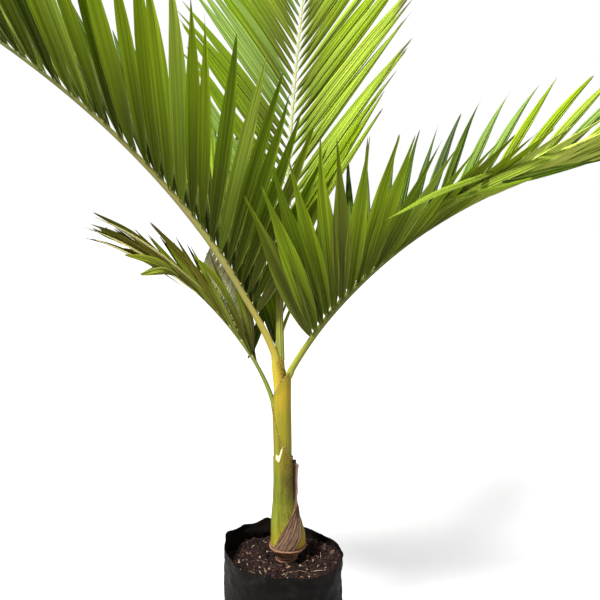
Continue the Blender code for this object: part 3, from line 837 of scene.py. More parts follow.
def make_outer_base(materials):
    """The lowest leaf base, with a pale torn patch beside its peak."""
    sides = 132
    foot = FOOT_RING + 0.0006
    levels = np.linspace(0, 1, 74)
    angles = np.linspace(0, 2 * math.pi, sides, endpoint=False)

    def point(a, share, inset):
        ragged = 0.0022 * rough(math.cos(a), math.sin(a), 0, 7) + 0.0012 * rough(math.cos(a), math.sin(a), 1, 19)
        top = outer_top(a) + ragged
        z = foot + (top - foot) * share
        ribs = 0.00022 * math.sin(46 * a) + 0.0007 * rough(math.cos(a), math.sin(a), z * 1.5, 2.0)
        thin = 0.0016 * (1.0 if share < 0.97 else 0.5)
        radius = float(outer_radius(z)) + 0.0003 + ribs - thin * inset
        tucked = 0.0030 * float(eased(1 - share * 26))
        radius -= tucked
        return float(axis_x(z)) + radius * math.cos(a), radius * math.sin(a), z

    rows = tube_net(list(levels), angles, point)
    count = len(rows)
    tops = np.array([outer_top(a) for a in angles])
    below = tops[None, :] - rows[..., 2]
    side = np.abs((angles - TEAR_MIDDLE + math.pi) % (2 * math.pi) - math.pi)[None, :]
    torn = eased(1.15 - side / TEAR_WIDTH) * eased(1.1 - (below - 0.002) / TEAR_DEEP)
    sunny = 0.5 + 0.5 * np.cos(angles + 0.4)[None, :]
    low = eased((0.42 - rows[..., 2]) / 0.08) + 0.55 * eased((rows[..., 2] - 0.50) / 0.05)
    # The right side takes dark brown mottling: partly a stain and partly painted shade on that side.
    shaded = np.clip(np.cos(angles + 0.75), 0, 1)[None, :]
    mottling_and_shade = 0.92 * shaded * (0.40 + 0.60 * eased((rows[..., 2] - 0.37) / 0.06))
    flow = np.zeros((count, sides, 3))
    flow[..., 0] = angles[None, :] * 0.028
    flow[..., 1] = rows[..., 2]
    heap = Heap()
    heap.add(rows.reshape(-1, 3), net_faces(count, sides), flow=flow.reshape(-1, 3),
             edge=np.exp(-np.clip(below, 0, 1) / 0.0042).ravel(), warm=(0.90 * low * (0.25 + 0.75 * sunny ** 2)).ravel(),
             torn=torn.ravel(), stain=mottling_and_shade.ravel())
    return heap.piece("outer_base", materials, sharp=70)


# %% [markdown]
# One material serves all the green bases. It starts from green, turns yellow by the `warm` mark, takes fine
# lengthwise streaks and small dark specks, and ends in orange-brown fibre at the margin. The torn patch shows
# the cream flesh inside.

# %% Waxy leaf base material


def base_material(name, green, pale, yellow):
    """Waxy leaf base skin."""
    material, tree, shader = start_material(name, 0.46, Specular_IOR_Level=0.16)
    flow = flow_mark(tree)
    broad = effect(tree, STREAKS, Flow=flow, Across=130.0, Along=7.0, Contrast=0.26)
    fine = effect(tree, STREAKS, Flow=flow, Across=1500.0, Along=9.0, Contrast=0.30)
    cloud = effect(tree, BLOTCHES, Scale=17.0, Cover=0.5, Softness=0.2)
    colour = blend_colours(tree, reckon(tree, "MULTIPLY", broad, 0.75), green, pale)
    colour = blend_colours(tree, reckon(tree, "MULTIPLY", fine, 0.16), colour, pale)
    sun = reckon(tree, "MULTIPLY", mark(tree, "warm"), spread(tree, cloud, 0.0, 1.0, 0.65, 1.0))
    colour = blend_colours(tree, sun, colour, yellow)
    specks = effect(tree, BLOTCHES, Scale=95.0, Cover=0.30, Softness=0.04)
    colour = blend_colours(tree, reckon(tree, "MULTIPLY", specks, 0.60), colour, (0.115, 0.082, 0.016))
    mottles = effect(tree, BLOTCHES, Scale=300.0, Cover=0.52, Softness=0.12)
    uneven = reckon(tree, "MULTIPLY", spread(tree, mottles, 0.0, 1.0, 0.45, 1.0), spread(tree, cloud, 0.0, 0.8, 0.6, 1.0))
    # This mark lays dark brown mottling: a stain on every base, the column and the spear, and on the outer base's
    # right side also painted shade.
    colour = blend_colours(tree, reckon(tree, "MULTIPLY", mark(tree, "stain"), uneven), colour, (0.088, 0.050, 0.010))
    ragged = reckon(tree, "MULTIPLY", mark(tree, "edge"), spread(tree, fine, 0.0, 1.0, 0.7, 1.3))
    fringe = blend_colours(tree, mottles, (0.66, 0.46, 0.17), (0.22, 0.085, 0.020))
    colour = blend_colours(tree, spread(tree, ragged, 0.25, 0.60), colour, fringe)
    colour = blend_colours(tree, spread(tree, mark(tree, "torn"), 0.35, 0.55), colour, (0.86, 0.80, 0.50))
    paint(tree, shader, colour)
    relief(tree, shader, reckon(tree, "ADD", fine, ragged), 0.00035, 0.7)
    return material


GREEN_BASE = base_material("green_base_skin", (0.100, 0.122, 0.008), (0.31, 0.34, 0.034), (0.66, 0.43, 0.030))
YELLOW_BASE = base_material("yellow_base_skin", (0.40, 0.31, 0.030), (0.60, 0.48, 0.055), (0.72, 0.54, 0.040))
dress(make_outer_base([GREEN_BASE]), "green_sheath", "outer_sheath")

# %% Three upper leaf bases, by the solid's rule
TRUNK_TOP = 0.814
AXIS_BEND = 0.70
BASES = {
    "sheath_left": {"from": 0.700, "low": 0.780, "high": 0.8230, "toward": 200, "sharp": 0.8,
                    "radii": (0.0174, 0.0168), "wall": 0.0018, "warm": (0.6, 0.8), "stained": 2.3, "deep": 0.085,
                    "fringe": 0.0034},
    "sheath_right": {"from": 0.520, "low": 0.700, "high": 0.7846, "toward": -8, "sharp": 0.5,
                     "radii": (0.0209, 0.0236), "wall": 0.0016, "warm": (0.00, 0.80), "stained": 0.60, "deep": 0.02,
                     "fringe": 0.0052},
    "sheath_low": {"from": 0.480, "low": 0.552, "high": 0.7035, "toward": 172, "sharp": 1.7,
                   "radii": (0.0225, 0.0246), "wall": 0.0012, "warm": (0.10, 0.35), "stained": 1.20, "deep": 0.10,
                   "fringe": 0.0050},
}


def make_base(name, spec, materials):
    """A tubular leaf base whose edge climbs to a tongue under its own stalk."""
    sides = 108
    toward = math.radians(spec["toward"])
    follows = TRUNK_TOP if spec["from"] >= AXIS_BEND else AXIS_BEND
    angles = np.linspace(0, 2 * math.pi, sides, endpoint=False)
    levels = np.linspace(0, 1, 60)

    def top(a):
        near = (1 + math.cos(a - toward)) / 2
        ragged = 0.0018 * rough(math.cos(a), math.sin(a), spec["high"], 6) * (1 - near)
        return spec["low"] + (spec["high"] - spec["low"]) * near ** spec["sharp"] + ragged

    def point(a, share, inset):
        z = spec["from"] + (top(a) - spec["from"]) * share
        climb = (z - spec["from"]) / (spec["high"] - spec["from"])
        ribs = 0.00018 * math.sin(38 * a) + 0.0004 * rough(math.cos(a), math.sin(a), z * 2, 2.2)
        radius = spec["radii"][0] + (spec["radii"][1] - spec["radii"][0]) * climb + ribs
        radius -= spec["wall"] * 0.8 * inset
        middle = float(axis_x(min(z, follows)))
        return middle + radius * math.cos(a), radius * math.sin(a), z

    rows = tube_net(list(levels), angles, point)
    count = len(rows)
    below = np.array([top(a) for a in angles])[None, :] - rows[..., 2]
    climb = (rows[..., 2] - spec["from"]) / (spec["high"] - spec["from"])
    warm = spec["warm"][0] + (spec["warm"][1] - spec["warm"][0]) * climb
    near = 0.5 + 0.5 * np.cos(angles - toward)[None, :]
    stain = np.clip(spec["stained"] * (1 - near) * eased(1 - below / spec["deep"]), 0, 1) * np.ones_like(warm)
    flow = np.zeros((count, sides, 3))
    flow[..., 0] = angles[None, :] * 0.022
    flow[..., 1] = rows[..., 2]
    heap = Heap()
    heap.add(rows.reshape(-1, 3), net_faces(count, sides), flow=flow.reshape(-1, 3),
             edge=np.exp(-np.clip(below, 0, 1) / spec["fringe"]).ravel() * 0.9, warm=warm.ravel(),
             torn=np.zeros(count * sides), stain=stain.ravel())
    return heap.piece(name.replace("sheath", "base"), materials, sharp=70)


for base_name, base in BASES.items():
    skin = YELLOW_BASE if base_name == "sheath_left" else GREEN_BASE
    finish = "yellow_sheath" if base_name == "sheath_left" else "green_sheath"
    dress(make_base(base_name, base, [skin]), finish, base_name)

# %% [markdown]
# Between the leaf bases the young column itself shows for a finger's width at the fork. It is a plain slim
# tube, pale yellow-green, and it stands under the folded spear.

# %% Young column inside the bases


def make_column(materials):
    """The innermost column, from inside the outer base up to the fork."""
    sides = 72
    heights = np.linspace(0.50, TRUNK_TOP, 44)
    angles = np.linspace(0, 2 * math.pi, sides, endpoint=False)
    radii = np.interp(heights, (0.50, 0.62, 0.69, TRUNK_TOP), (0.0188, 0.0175, 0.0150, 0.0150))
    rows = np.zeros((len(heights), sides, 3))
    rows[..., 0] = axis_x(heights)[:, None] + radii[:, None] * np.cos(angles)
    rows[..., 1] = radii[:, None] * np.sin(angles)
    rows[..., 2] = heights[:, None]
    flow = np.zeros_like(rows)
    flow[..., 0] = angles[None, :] * 0.015
    flow[..., 1] = heights[:, None]
    caps = [tuple(reversed(range(sides))), tuple((len(heights) - 1) * sides + j for j in range(sides))]
    stain = np.repeat(eased((heights - 0.775) / 0.03)[:, None], sides, axis=1)
    heap = Heap()
    heap.add(rows.reshape(-1, 3), net_faces(len(heights), sides) + caps, flow=flow.reshape(-1, 3),
             edge=np.zeros(stain.size), warm=np.full(stain.size, 0.7), torn=np.zeros(stain.size),
             stain=stain.ravel() * 0.8)
    return heap.piece("young_column", materials, sharp=60)


dress(make_column([YELLOW_BASE]), "yellow_sheath")

# %% [markdown]
# ## The dry husk
# The oldest leaf base has died. It wraps the front of the foot as a wide brown shred, pulls together to the
# right as it climbs, and ends in the stump of its stalk. It is a sheet of parallel fibres: pinkish brown in
# the middle, dark where it has rotted, with curled edges. The mesh repeats the solid's rule with pleats.

# %% Husk mesh
HUSK_HEIGHTS = (0.330, 0.346, 0.366, 0.390, 0.412, 0.434, 0.456, 0.480, 0.530, 0.543, 0.548)
HUSK_REACH = (0.60, 0.66, 0.68, 0.64, 0.54, 0.34, 0.15, 0.090, 0.090, 0.130, 0.090)
HUSK_MIDDLE = (-1.87, -1.66, -1.38, -1.06, -0.74, -0.38, -0.18, -0.12, -0.10, -0.10, -0.10)
HUSK_PROUD = (0.0026, 0.0022, 0.0018, 0.0016, 0.0018, 0.0050, 0.0082, 0.0108, 0.0128, 0.0158, 0.0082)


def make_husk(materials):
    """A pleated shred with frayed, lifting edges."""
    across = 33
    heights = np.linspace(HUSK_HEIGHTS[0] + 0.005, HUSK_HEIGHTS[-1] + 0.008, 96)
    v = np.linspace(-1, 1, across)
    rows = []
    for z in heights:
        half = np.interp(z, HUSK_HEIGHTS, HUSK_REACH)
        middle = np.interp(z, HUSK_HEIGHTS, HUSK_MIDDLE)
        wide = float(eased((half - 0.12) / 0.25))
        fray = np.array([rough(s, z * 9, 0.0, 3.0) for s in (1.0, -1.0)])
        angle = middle + half * v * (1 + 0.06 * np.where(v > 0, fray[0], fray[1]) * np.abs(v))
        stub = float(eased((z - 0.425) / 0.04)) - 0.6 * float(eased((z - 0.544) / 0.004))
        lift = 0.0004 + 0.0004 * stub
        thick = float(np.interp(z, HUSK_HEIGHTS, HUSK_PROUD)) - lift + 0.0012 * rough(0, 0, z, 60) * (1 - wide)
        curl = 0.0012 * wide * np.abs(v) ** 5
        pleat = 0.0006 * wide * np.sin(v * 17 + 5 * rough(0, z, 0, 9)) + 0.0004 * np.sin(v * 41 + z * 60) * wide
        rounded = (1 - wide) * thick * (np.sqrt(np.clip(1 - v * v, 0, 1)) - 1)
        outer = outer_radius(z) + lift + thick + curl + pleat + rounded
        inner = outer_radius(z) + lift + curl * 0.8 - (1 - wide) * 0.0012 * (1 - v * v)
        lean = float(axis_x(z))
        front = np.stack([lean + outer * np.cos(angle), outer * np.sin(angle), np.full(across, z)], axis=1)
        back = np.stack([lean + inner * np.cos(angle), inner * np.sin(angle), np.full(across, z)], axis=1)
        rows.append(np.concatenate([front, back[::-1]]))
    rows = np.array(rows)
    loop = 2 * across
    both = np.concatenate([v, v[::-1]])
    half_width = np.interp(heights, HUSK_HEIGHTS, HUSK_REACH) * outer_radius(heights)
    flow = np.zeros_like(rows)
    flow[..., 0] = both[None, :] * 0.024
    flow[..., 1] = heights[:, None]
    edge = np.abs(both)[None, :] ** 6 * np.ones((len(heights), 1))
    tone = eased((0.014 - half_width) / 0.010)[:, None] * np.ones((1, loop))
    # Painted shade: the stub's side next to the column is darkened. It shares one mark with the stub's dark broken
    # end.
    shaded = 0.9 * tone * eased((-both - 0.74) / 0.16)[None, :]
    ended = np.maximum(eased((heights - 0.5445) / 0.003)[:, None] * np.ones((1, loop)), shaded)
    caps = [tuple(reversed(range(loop))), tuple((len(heights) - 1) * loop + j for j in range(loop))]
    heap = Heap()
    heap.add(rows.reshape(-1, 3), net_faces(len(heights), loop) + caps, flow=flow.reshape(-1, 3),
             edge=edge.ravel(), tone=tone.ravel(), ended=ended.ravel())
    return heap.piece("dry_husk_shred", materials, sharp=60)


def husk_material():
    """Dead fibre: pink-brown with near-black rot between the strands."""
    material, tree, shader = start_material("husk_fibre", 0.82, Specular_IOR_Level=0.3)
    flow = flow_mark(tree)
    strands = effect(tree, STREAKS, Flow=flow, Across=430.0, Along=20.0, Contrast=0.24)
    fine = effect(tree, STREAKS, Flow=flow, Across=2600.0, Along=22.0, Contrast=0.24)
    rot = effect(tree, STREAKS, Flow=flow, Across=230.0, Along=22.0, Contrast=0.16)
    colour = blend_colours(tree, strands, (0.115, 0.060, 0.032), (0.34, 0.200, 0.115))
    colour = blend_colours(tree, reckon(tree, "MULTIPLY", fine, 0.30), colour, (0.42, 0.28, 0.17))
    colour = blend_colours(tree, spread(tree, rot, 0.45, 0.95, 0.0, 0.80), colour, (0.040, 0.020, 0.012))
    colour = blend_colours(tree, reckon(tree, "MULTIPLY", mark(tree, "tone"), 0.80), colour, (0.44, 0.25, 0.20))
    colour = blend_colours(tree, reckon(tree, "MULTIPLY", mark(tree, "edge"), 0.7), colour, (0.24, 0.115, 0.050))
    # Near-black at the stub's broken end, and painted shade on its side next to the column.
    colour = blend_colours(tree, reckon(tree, "MULTIPLY", mark(tree, "ended"), 0.95), colour, (0.022, 0.012, 0.008))
    paint(tree, shader, colour)
    relief(tree, shader, reckon(tree, "ADD", strands, fine), 0.0009, 0.9)
    return material


dress(make_husk([husk_material()]), "dry_fibre", "dry_husk")

# %% [markdown]
# ## The spear
# The newest leaf is still shut: all its leaflets lie folded together in one pointed rod. Its skin shows as
# narrow pleats, and this one has lost its tip, so it ends in short frayed strands. An older brown stripe
# runs down its front.

# %% Spear mesh
SPEAR_TOP = 1.095
SPEAR_RADIUS = 0.0098
SPEAR_PLEATS = 9


def make_spear(materials):
    """A pleated rod with a frayed end."""
    sides = 90
    shares = np.linspace(0, 1, 64)
    angles = np.linspace(0, 2 * math.pi, sides, endpoint=False)
    rows = []
    stain = []
    for share in shares:
        z = TRUNK_TOP - 0.004 + (SPEAR_TOP - TRUNK_TOP + 0.004) * share
        radius = SPEAR_RADIUS * (1.0 - 0.42 * share ** 1.3)
        pleat = 1 + 0.085 * np.cos(SPEAR_PLEATS * angles + 2.5 * share)
        fray = np.array([0.010 * rough(math.cos(a), math.sin(a), 0, 5) for a in angles]) * eased((share - 0.95) / 0.05)
        x = -0.0066 - 0.0052 * share + radius * pleat * np.cos(angles)
        y = 0.80 * radius * pleat * np.sin(angles)
        rows.append(np.stack([x, y, z + fray], axis=1))
        front = np.clip(-np.sin(angles + 0.25), 0, 1) ** 6
        stain.append(front * eased((share - 0.34) / 0.25) * eased((1.02 - share) / 0.10))
    rows = np.array(rows)
    flow = np.zeros_like(rows)
    flow[..., 0] = angles[None, :] * 0.009
    flow[..., 1] = shares[:, None] * 0.28
    caps = [tuple(reversed(range(sides))), tuple((len(shares) - 1) * sides + j for j in range(sides))]
    warm = np.repeat((0.20 + 0.35 * shares)[:, None], sides, axis=1)
    heap = Heap()
    heap.add(rows.reshape(-1, 3), net_faces(len(shares), sides) + caps, flow=flow.reshape(-1, 3),
             stain=np.array(stain).ravel() * 0.85, warm=warm.ravel(), edge=np.zeros(warm.size),
             torn=np.zeros(warm.size))
    return heap.piece("folded_spear", materials, sharp=60)


SPEAR_SKIN = base_material("spear_skin", (0.19, 0.235, 0.028), (0.36, 0.37, 0.085), (0.46, 0.42, 0.060))
dress(make_spear([SPEAR_SKIN]), "green_sheath", "spear")

# %% [markdown]
# ## The fronds
# A feather palm's leaf has a bare stalk that runs on as the rib, with a row of leaflets on each side. The
# numbers below are those of the solids: where the leaf is rooted, which way it goes, how it arches, how
# the leaflets open and how long they are. The finer leaflets follow the same lines, so they reach
# exactly as far, and what is added is their real form: a narrow foot, a blade with pleats, a thin drip tip.

# %% Frond plans
LEAFLET_WIDTH = 0.041
LENGTH_ALONG = (0.0, 0.10, 0.30, 0.60, 0.85, 1.0)
ANGLE_ALONG = (0.0, 0.10, 0.30, 0.60, 1.0)
WIDTH_ALONG = (0.0, 0.35, 1.0)
ROW_END = 0.985

FRONDS = {
    "frond_left": {
        "foot": (-0.0270, -0.0070, 0.8149), "azimuth": 194, "rise": (74.8, 23.2), "bend": 0.65,
        "length": 1.420, "thick": (0.0100, 0.0018), "bare": 0.082, "pairs": (32, 32), "crowd": 1.25,
        "open": ((54, 49, 41, 32, 20), (54, 49, 41, 32, 20)),
        "vee": ((40, 41, 42, 43, 44), (62, 62, 62, 62, 62)),
        "twist": (-14, -38), "width": ((1.00, 1.06, 0.88), (1.00, 1.10, 0.92)), "leaflet": 0.480,
        "lengths": (0.84, 0.96, 1.0, 0.94, 0.72, 0.36), "droop": 0.30, "tip": 0.25,
    },
    "frond_right": {
        "foot": (0.0186, -0.0030, 0.7849), "azimuth": -8, "rise": (60.5, -7), "bend": 0.96,
        "length": 1.280, "thick": (0.0098, 0.0016), "bare": 0.080, "pairs": (38, 27), "crowd": 1.15,
        "open": ((57, 51, 25, 13, 11), (57, 53, 44, 34, 22)),
        "vee": ((60, 56, 34, 16, 10), (56, 57, 58, 60, 60)),
        "twist": (-14, -38), "width": ((1.60, 0.92, 0.66), (0.72, 0.78, 0.68)), "leaflet": 0.410,
        "lengths": (0.98, 1.08, 0.80, 0.88, 0.74, 0.40), "droop": 0.30, "tip": 0.9,
    },
    "frond_centre": {
        "foot": (-0.0060, 0.0145, 0.8143), "azimuth": 80, "rise": (88, 54), "bend": 0.60,
        "length": 1.420, "thick": (0.0050, 0.0016), "bare": 0.075, "pairs": (42, 42), "crowd": 1.0,
        "open": ((14, 30, 38, 32, 22), (14, 30, 38, 32, 22)),
        "vee": ((16, 16, 16, 16, 16), (16, 16, 16, 16, 16)),
        "twist": (10, 34), "width": ((0.42, 0.66, 0.58), (0.42, 0.68, 0.58)), "leaflet": 0.500,
        "lengths": (0.46, 0.92, 1.0, 0.90, 0.66, 0.34), "droop": 0.25, "tip": 0.1,
    },
    "frond_back": {
        "foot": (0.0038, 0.0084, 0.8143), "azimuth": 45, "rise": (76, 34), "bend": 0.75,
        "length": 0.420, "thick": (0.0062, 0.0014), "bare": 0.34, "pairs": (13, 13), "crowd": 1.0,
        "open": ((22, 26, 28, 24, 18), (22, 26, 28, 24, 18)),
        "vee": ((22, 22, 22, 22, 22), (22, 22, 22, 22, 22)),
        "twist": (-14, -34), "width": ((0.66, 0.66, 0.62), (0.66, 0.66, 0.62)), "leaflet": 0.170,
        "lengths": (0.80, 0.94, 1.0, 0.90, 0.70, 0.40), "droop": 0.40, "tip": 0.2,
    },
    "frond_low": {
        "foot": (-0.0332, 0.0010, 0.7029), "azimuth": 168, "rise": (74.6, 21), "bend": 0.80,
        "length": 0.585, "thick": (0.0065, 0.0014), "bare": 0.17, "pairs": (11, 11), "crowd": 1.0,
        "open": ((23, 14, 10, 9, 8), (16, 11, 9, 7, 6)),
        "vee": ((20, 22, 24, 26, 28), (50, 54, 58, 60, 60)),
        "twist": (-14, -34), "width": ((0.62, 0.56, 0.46), (0.62, 0.56, 0.46)), "leaflet": 0.290,
        "lengths": (1.0, 1.0, 0.86, 0.66, 0.44, 0.26), "droop": 0.10, "tip": 0.1,
    },
}
NECKS = {
    "frond_left": ((0.0105, 0.0010, 0.0), 0.13),
    "frond_back": ((-0.0240, 0.0060, 0.0), 1.60),
    "frond_low": ((0.0085, 0.0, 0.0), 0.50),
}

for neck_name, neck in NECKS.items():
    FRONDS[neck_name]["neck"] = neck

# %% [markdown]
# Some leaflets don't follow their row's rule: one has been bent back across the rib, a few lie folded along it,
# and old ones stick out singly. Each of these is drawn by a few places along its middle line.

# %% Leaflets that lie their own way
PALE_ROW = {
    "places": 11,
    "roots": ((-0.217, 0.036, 0.991), (-0.117, 0.020, 0.877)),
    "tips": ((-0.172, 0.045, 1.105), (-0.075, 0.030, 0.964)),
    "width": 0.024,
}
STRAYS = {
    "frond_right": (
        (0.017, "sunlit", ((0.497, -0.100, 1.275), (0.468, -0.150, 1.268), (0.420, -0.175, 1.248),
                         (0.358, -0.185, 1.230), (0.305, -0.185, 1.205), (0.266, -0.180, 1.178),
                         (0.227, -0.175, 1.158))),
        (0.012, "sunlit", ((0.341, -0.100, 1.196), (0.399, -0.150, 1.214), (0.461, -0.170, 1.227),
                         (0.519, -0.170, 1.242), (0.591, -0.150, 1.262))),
        (0.030, "sunlit", ((0.348, -0.090, 1.171), (0.414, -0.140, 1.225), (0.511, -0.155, 1.269),
                           (0.613, -0.155, 1.313), (0.704, -0.130, 1.336))),
        (0.026, "glow", ((0.432, -0.090, 1.214), (0.501, -0.140, 1.256), (0.586, -0.155, 1.298),
                         (0.662, -0.155, 1.328), (0.713, -0.150, 1.361))),
        (0.026, "deep", ((0.485, -0.150, 1.244), (0.537, -0.160, 1.255),
                         (0.602, -0.160, 1.272), (0.687, -0.150, 1.288))),
    ),
    "frond_low": (
        (0.020, "worn", ((-0.194, 0.030, 0.964), (-0.281, 0.040, 1.043), (-0.381, 0.050, 1.127),
                         (-0.474, 0.060, 1.173))),
        (0.016, "worn", ((-0.219, 0.030, 0.986), (-0.331, 0.040, 1.073), (-0.421, 0.060, 1.124),
                         (-0.483, 0.070, 1.143))),
        (0.007, "straw", ((-0.205, -0.010, 0.975), (-0.300, -0.010, 1.050), (-0.395, -0.005, 1.105),
                          (-0.470, 0.0, 1.135))),
        (0.006, "straw", ((-0.190, -0.012, 0.985), (-0.285, -0.012, 1.068), (-0.375, -0.005, 1.128),
                          (-0.455, 0.0, 1.163))),
        (0.006, "straw", ((-0.235, -0.010, 0.990), (-0.325, -0.010, 1.052), (-0.400, -0.005, 1.088),
                          (-0.465, 0.0, 1.112))),
        (0.010, "worn", ((-0.243, 0.0, 1.006), (-0.345, 0.0, 1.066), (-0.428, 0.010, 1.100),
                         (-0.492, 0.020, 1.112))),
        (0.009, "worn", ((-0.243, 0.0, 1.010), (-0.335, 0.0, 1.076), (-0.410, 0.010, 1.113),
                         (-0.486, 0.020, 1.136))),
        (0.012, "worn", ((-0.268, 0.030, 1.029), (-0.333, 0.050, 1.059), (-0.384, 0.060, 1.081),
                         (-0.424, 0.060, 1.084))),
        (0.025, "worn", ((-0.142, 0.020, 0.927), (-0.195, 0.020, 1.007), (-0.258, 0.020, 1.079),
                         (-0.327, 0.030, 1.149))),
        (0.022, "aged", ((-0.092, -0.020, 0.884), (-0.133, -0.022, 0.971), (-0.171, -0.022, 1.033),
                          (-0.216, -0.015, 1.069))),
        (0.024, "aged", ((-0.262, -0.010, 1.026), (-0.293, -0.015, 1.053), (-0.333, -0.020, 1.067),
                         (-0.381, -0.020, 1.073))),
        (0.034, "aged", ((-0.252, -0.010, 1.020), (-0.283, -0.020, 1.043), (-0.314, -0.020, 1.039),
                         (-0.347, -0.010, 1.025))),
        (0.030, "deep", ((-0.0900, 0.030, 0.808), (-0.0740, 0.036, 0.860), (-0.0600, 0.042, 0.908),
                         (-0.0450, 0.046, 0.962))),
        (0.034, "olive", ((-0.078, 0.020, 0.827), (-0.089, 0.010, 0.904),
                          (-0.103, 0.010, 0.964), (-0.120, 0.015, 1.018))),
        (0.034, "olive", ((-0.083, 0.022, 0.831), (-0.095, 0.024, 0.881),
                          (-0.107, 0.026, 0.927), (-0.117, 0.030, 0.976))),
        (0.030, "deep", ((-0.073, 0.030, 0.825), (-0.083, 0.034, 0.880),
                         (-0.093, 0.038, 0.930), (-0.101, 0.042, 0.985))),
    ),
    "frond_back": (
        (0.026, "mid", ((-0.0191, 0.030, 0.853), (-0.0266, 0.030, 0.893), (-0.0378, 0.035, 0.944),
                        (-0.0528, 0.040, 1.007))),
        (0.026, "fresh", ((-0.0178, 0.030, 0.853), (-0.0216, 0.035, 0.901), (-0.0278, 0.040, 0.956),
                          (-0.0378, 0.045, 1.027))),
        (0.024, "deep", ((-0.0200, 0.028, 0.843), (-0.0330, 0.030, 0.886), (-0.0530, 0.035, 0.944),
                         (-0.0780, 0.040, 1.000))),
        (0.024, "mid", ((-0.0165, 0.030, 0.860), (-0.0180, 0.035, 0.920), (-0.0200, 0.040, 0.980),
                        (-0.0240, 0.045, 1.050))),
    ),
}



def pale_leaflets():
    """The bleached leaflets on the low frond's far side, outermost first, made near white partly as painted light,
    with leaflets in painted shade behind them.
    """
    row = []
    for share in np.linspace(0, 1, PALE_ROW["places"]):
        root, tip = (np.array(ends[0]) + (np.array(ends[1]) - np.array(ends[0])) * share
                     for ends in (PALE_ROW["roots"], PALE_ROW["tips"]))
        places = [tuple(root + (tip - root) * part) for part in (0.0, 0.35, 0.70, 1.06)]
        row.append((PALE_ROW["width"], "straw" if share < 0.5 else "faded", places))
        # Wider leaflets in the deep colour lie behind the outer ones: painted shade in the gaps between the pale ones.
        if share > 0.35:
            behind = [(x, y + 0.010, z) for x, y, z in places]
            row.append((PALE_ROW["width"] * 1.5, "deep", behind))
    return tuple(row)


STRAYS["frond_low"] += pale_leaflets()

# %% Rib curve, by the solid's rule


def rib_curve(frond, steps=48):
    """Points, directions, upward and sideways vectors along a frond's rib."""
    t = np.linspace(0, 1, steps + 1)
    rise = np.radians(frond["rise"][0] + (frond["rise"][1] - frond["rise"][0]) * t ** frond["bend"])
    azimuth = math.radians(frond["azimuth"])
    out = np.array([math.cos(azimuth), math.sin(azimuth), 0.0])
    up = np.array([0.0, 0.0, 1.0])
    along = np.cos(rise)[:, None] * out + np.sin(rise)[:, None] * up
    above = -np.sin(rise)[:, None] * out + np.cos(rise)[:, None] * up
    aside = np.cross(along, above)
    hops = (along[1:] + along[:-1]) / 2 * frond["length"] / steps
    points = np.array(frond["foot"]) + np.vstack([np.zeros(3), np.cumsum(hops, axis=0)])
    shift, reach = frond.get("neck", ((0.0, 0.0, 0.0), 1.0))
    points += np.outer(1 - eased(t / reach), shift)
    return t, points, along, above, aside


def at(t, rows, u):
    """A row read off between two steps."""
    return np.array([np.interp(u, t, rows[:, k]) for k in range(3)])


def rib_radius(frond, t):
    """The rib tapers from a stout stalk to a thin tip."""
    thick, thin = frond["thick"]
    return thin + (thick - thin) * (1 - t) ** 1.9


# %% [markdown]
# ### Stalk and rib
# The stalk is rounded below and has a shallow channel above, which turns into a ridge between the two rows
# of leaflets. At its foot it doesn't stop: its back runs on down the leaf base as a low keel until it
# is lost in the skin, which is how the two are one leaf.

# %% Stalk, rib and keel
STALK_SIDES = 28
KEEL = 0.070
KEEL_BASES = {
    "frond_left": {"radius": 0.0174, "toward": 194},
    "frond_right": {"radius": 0.0230, "toward": -8},
    "frond_low": {"radius": 0.0244, "toward": 172},
}


def stalk_loop(point, aside, above, wide, deep, channel):
    """One cross-section: rounded below, channelled above."""
    angle = np.linspace(0, 2 * math.pi, STALK_SIDES, endpoint=False)
    hollow = 1 - channel * np.exp(-((angle - math.pi / 2) / 0.55) ** 2)
    return (point + np.outer(np.cos(angle) * wide * hollow ** 0.3, aside)
            + np.outer(np.sin(angle) * deep * hollow, above))


def keel_loops(name, start, radius):
    """The stalk's back running down into the leaf base, lowest loop first."""
    base = KEEL_BASES[name]
    toward = math.radians(base["toward"])
    out = np.array([math.cos(toward), math.sin(toward), 0.0])
    aside = np.cross(np.array([0, 0, 1.0]), -out)
    stands = start - np.array([float(axis_x(start[2])), 0, start[2]])
    loops = []
    for share in np.linspace(1, 0, 16, endpoint=False):
        z = start[2] - KEEL * share
        sunk = float(eased(share * 1.9))
        reach = base["radius"] - radius * (0.92 + 0.20 * share)
        middle = np.array([float(axis_x(z)), 0, z]) + (1 - sunk) * stands + sunk * reach * out
        loops.append(stalk_loop(middle, aside, -out, radius * (1 + 0.25 * sunk), radius, 0.0))
    return loops


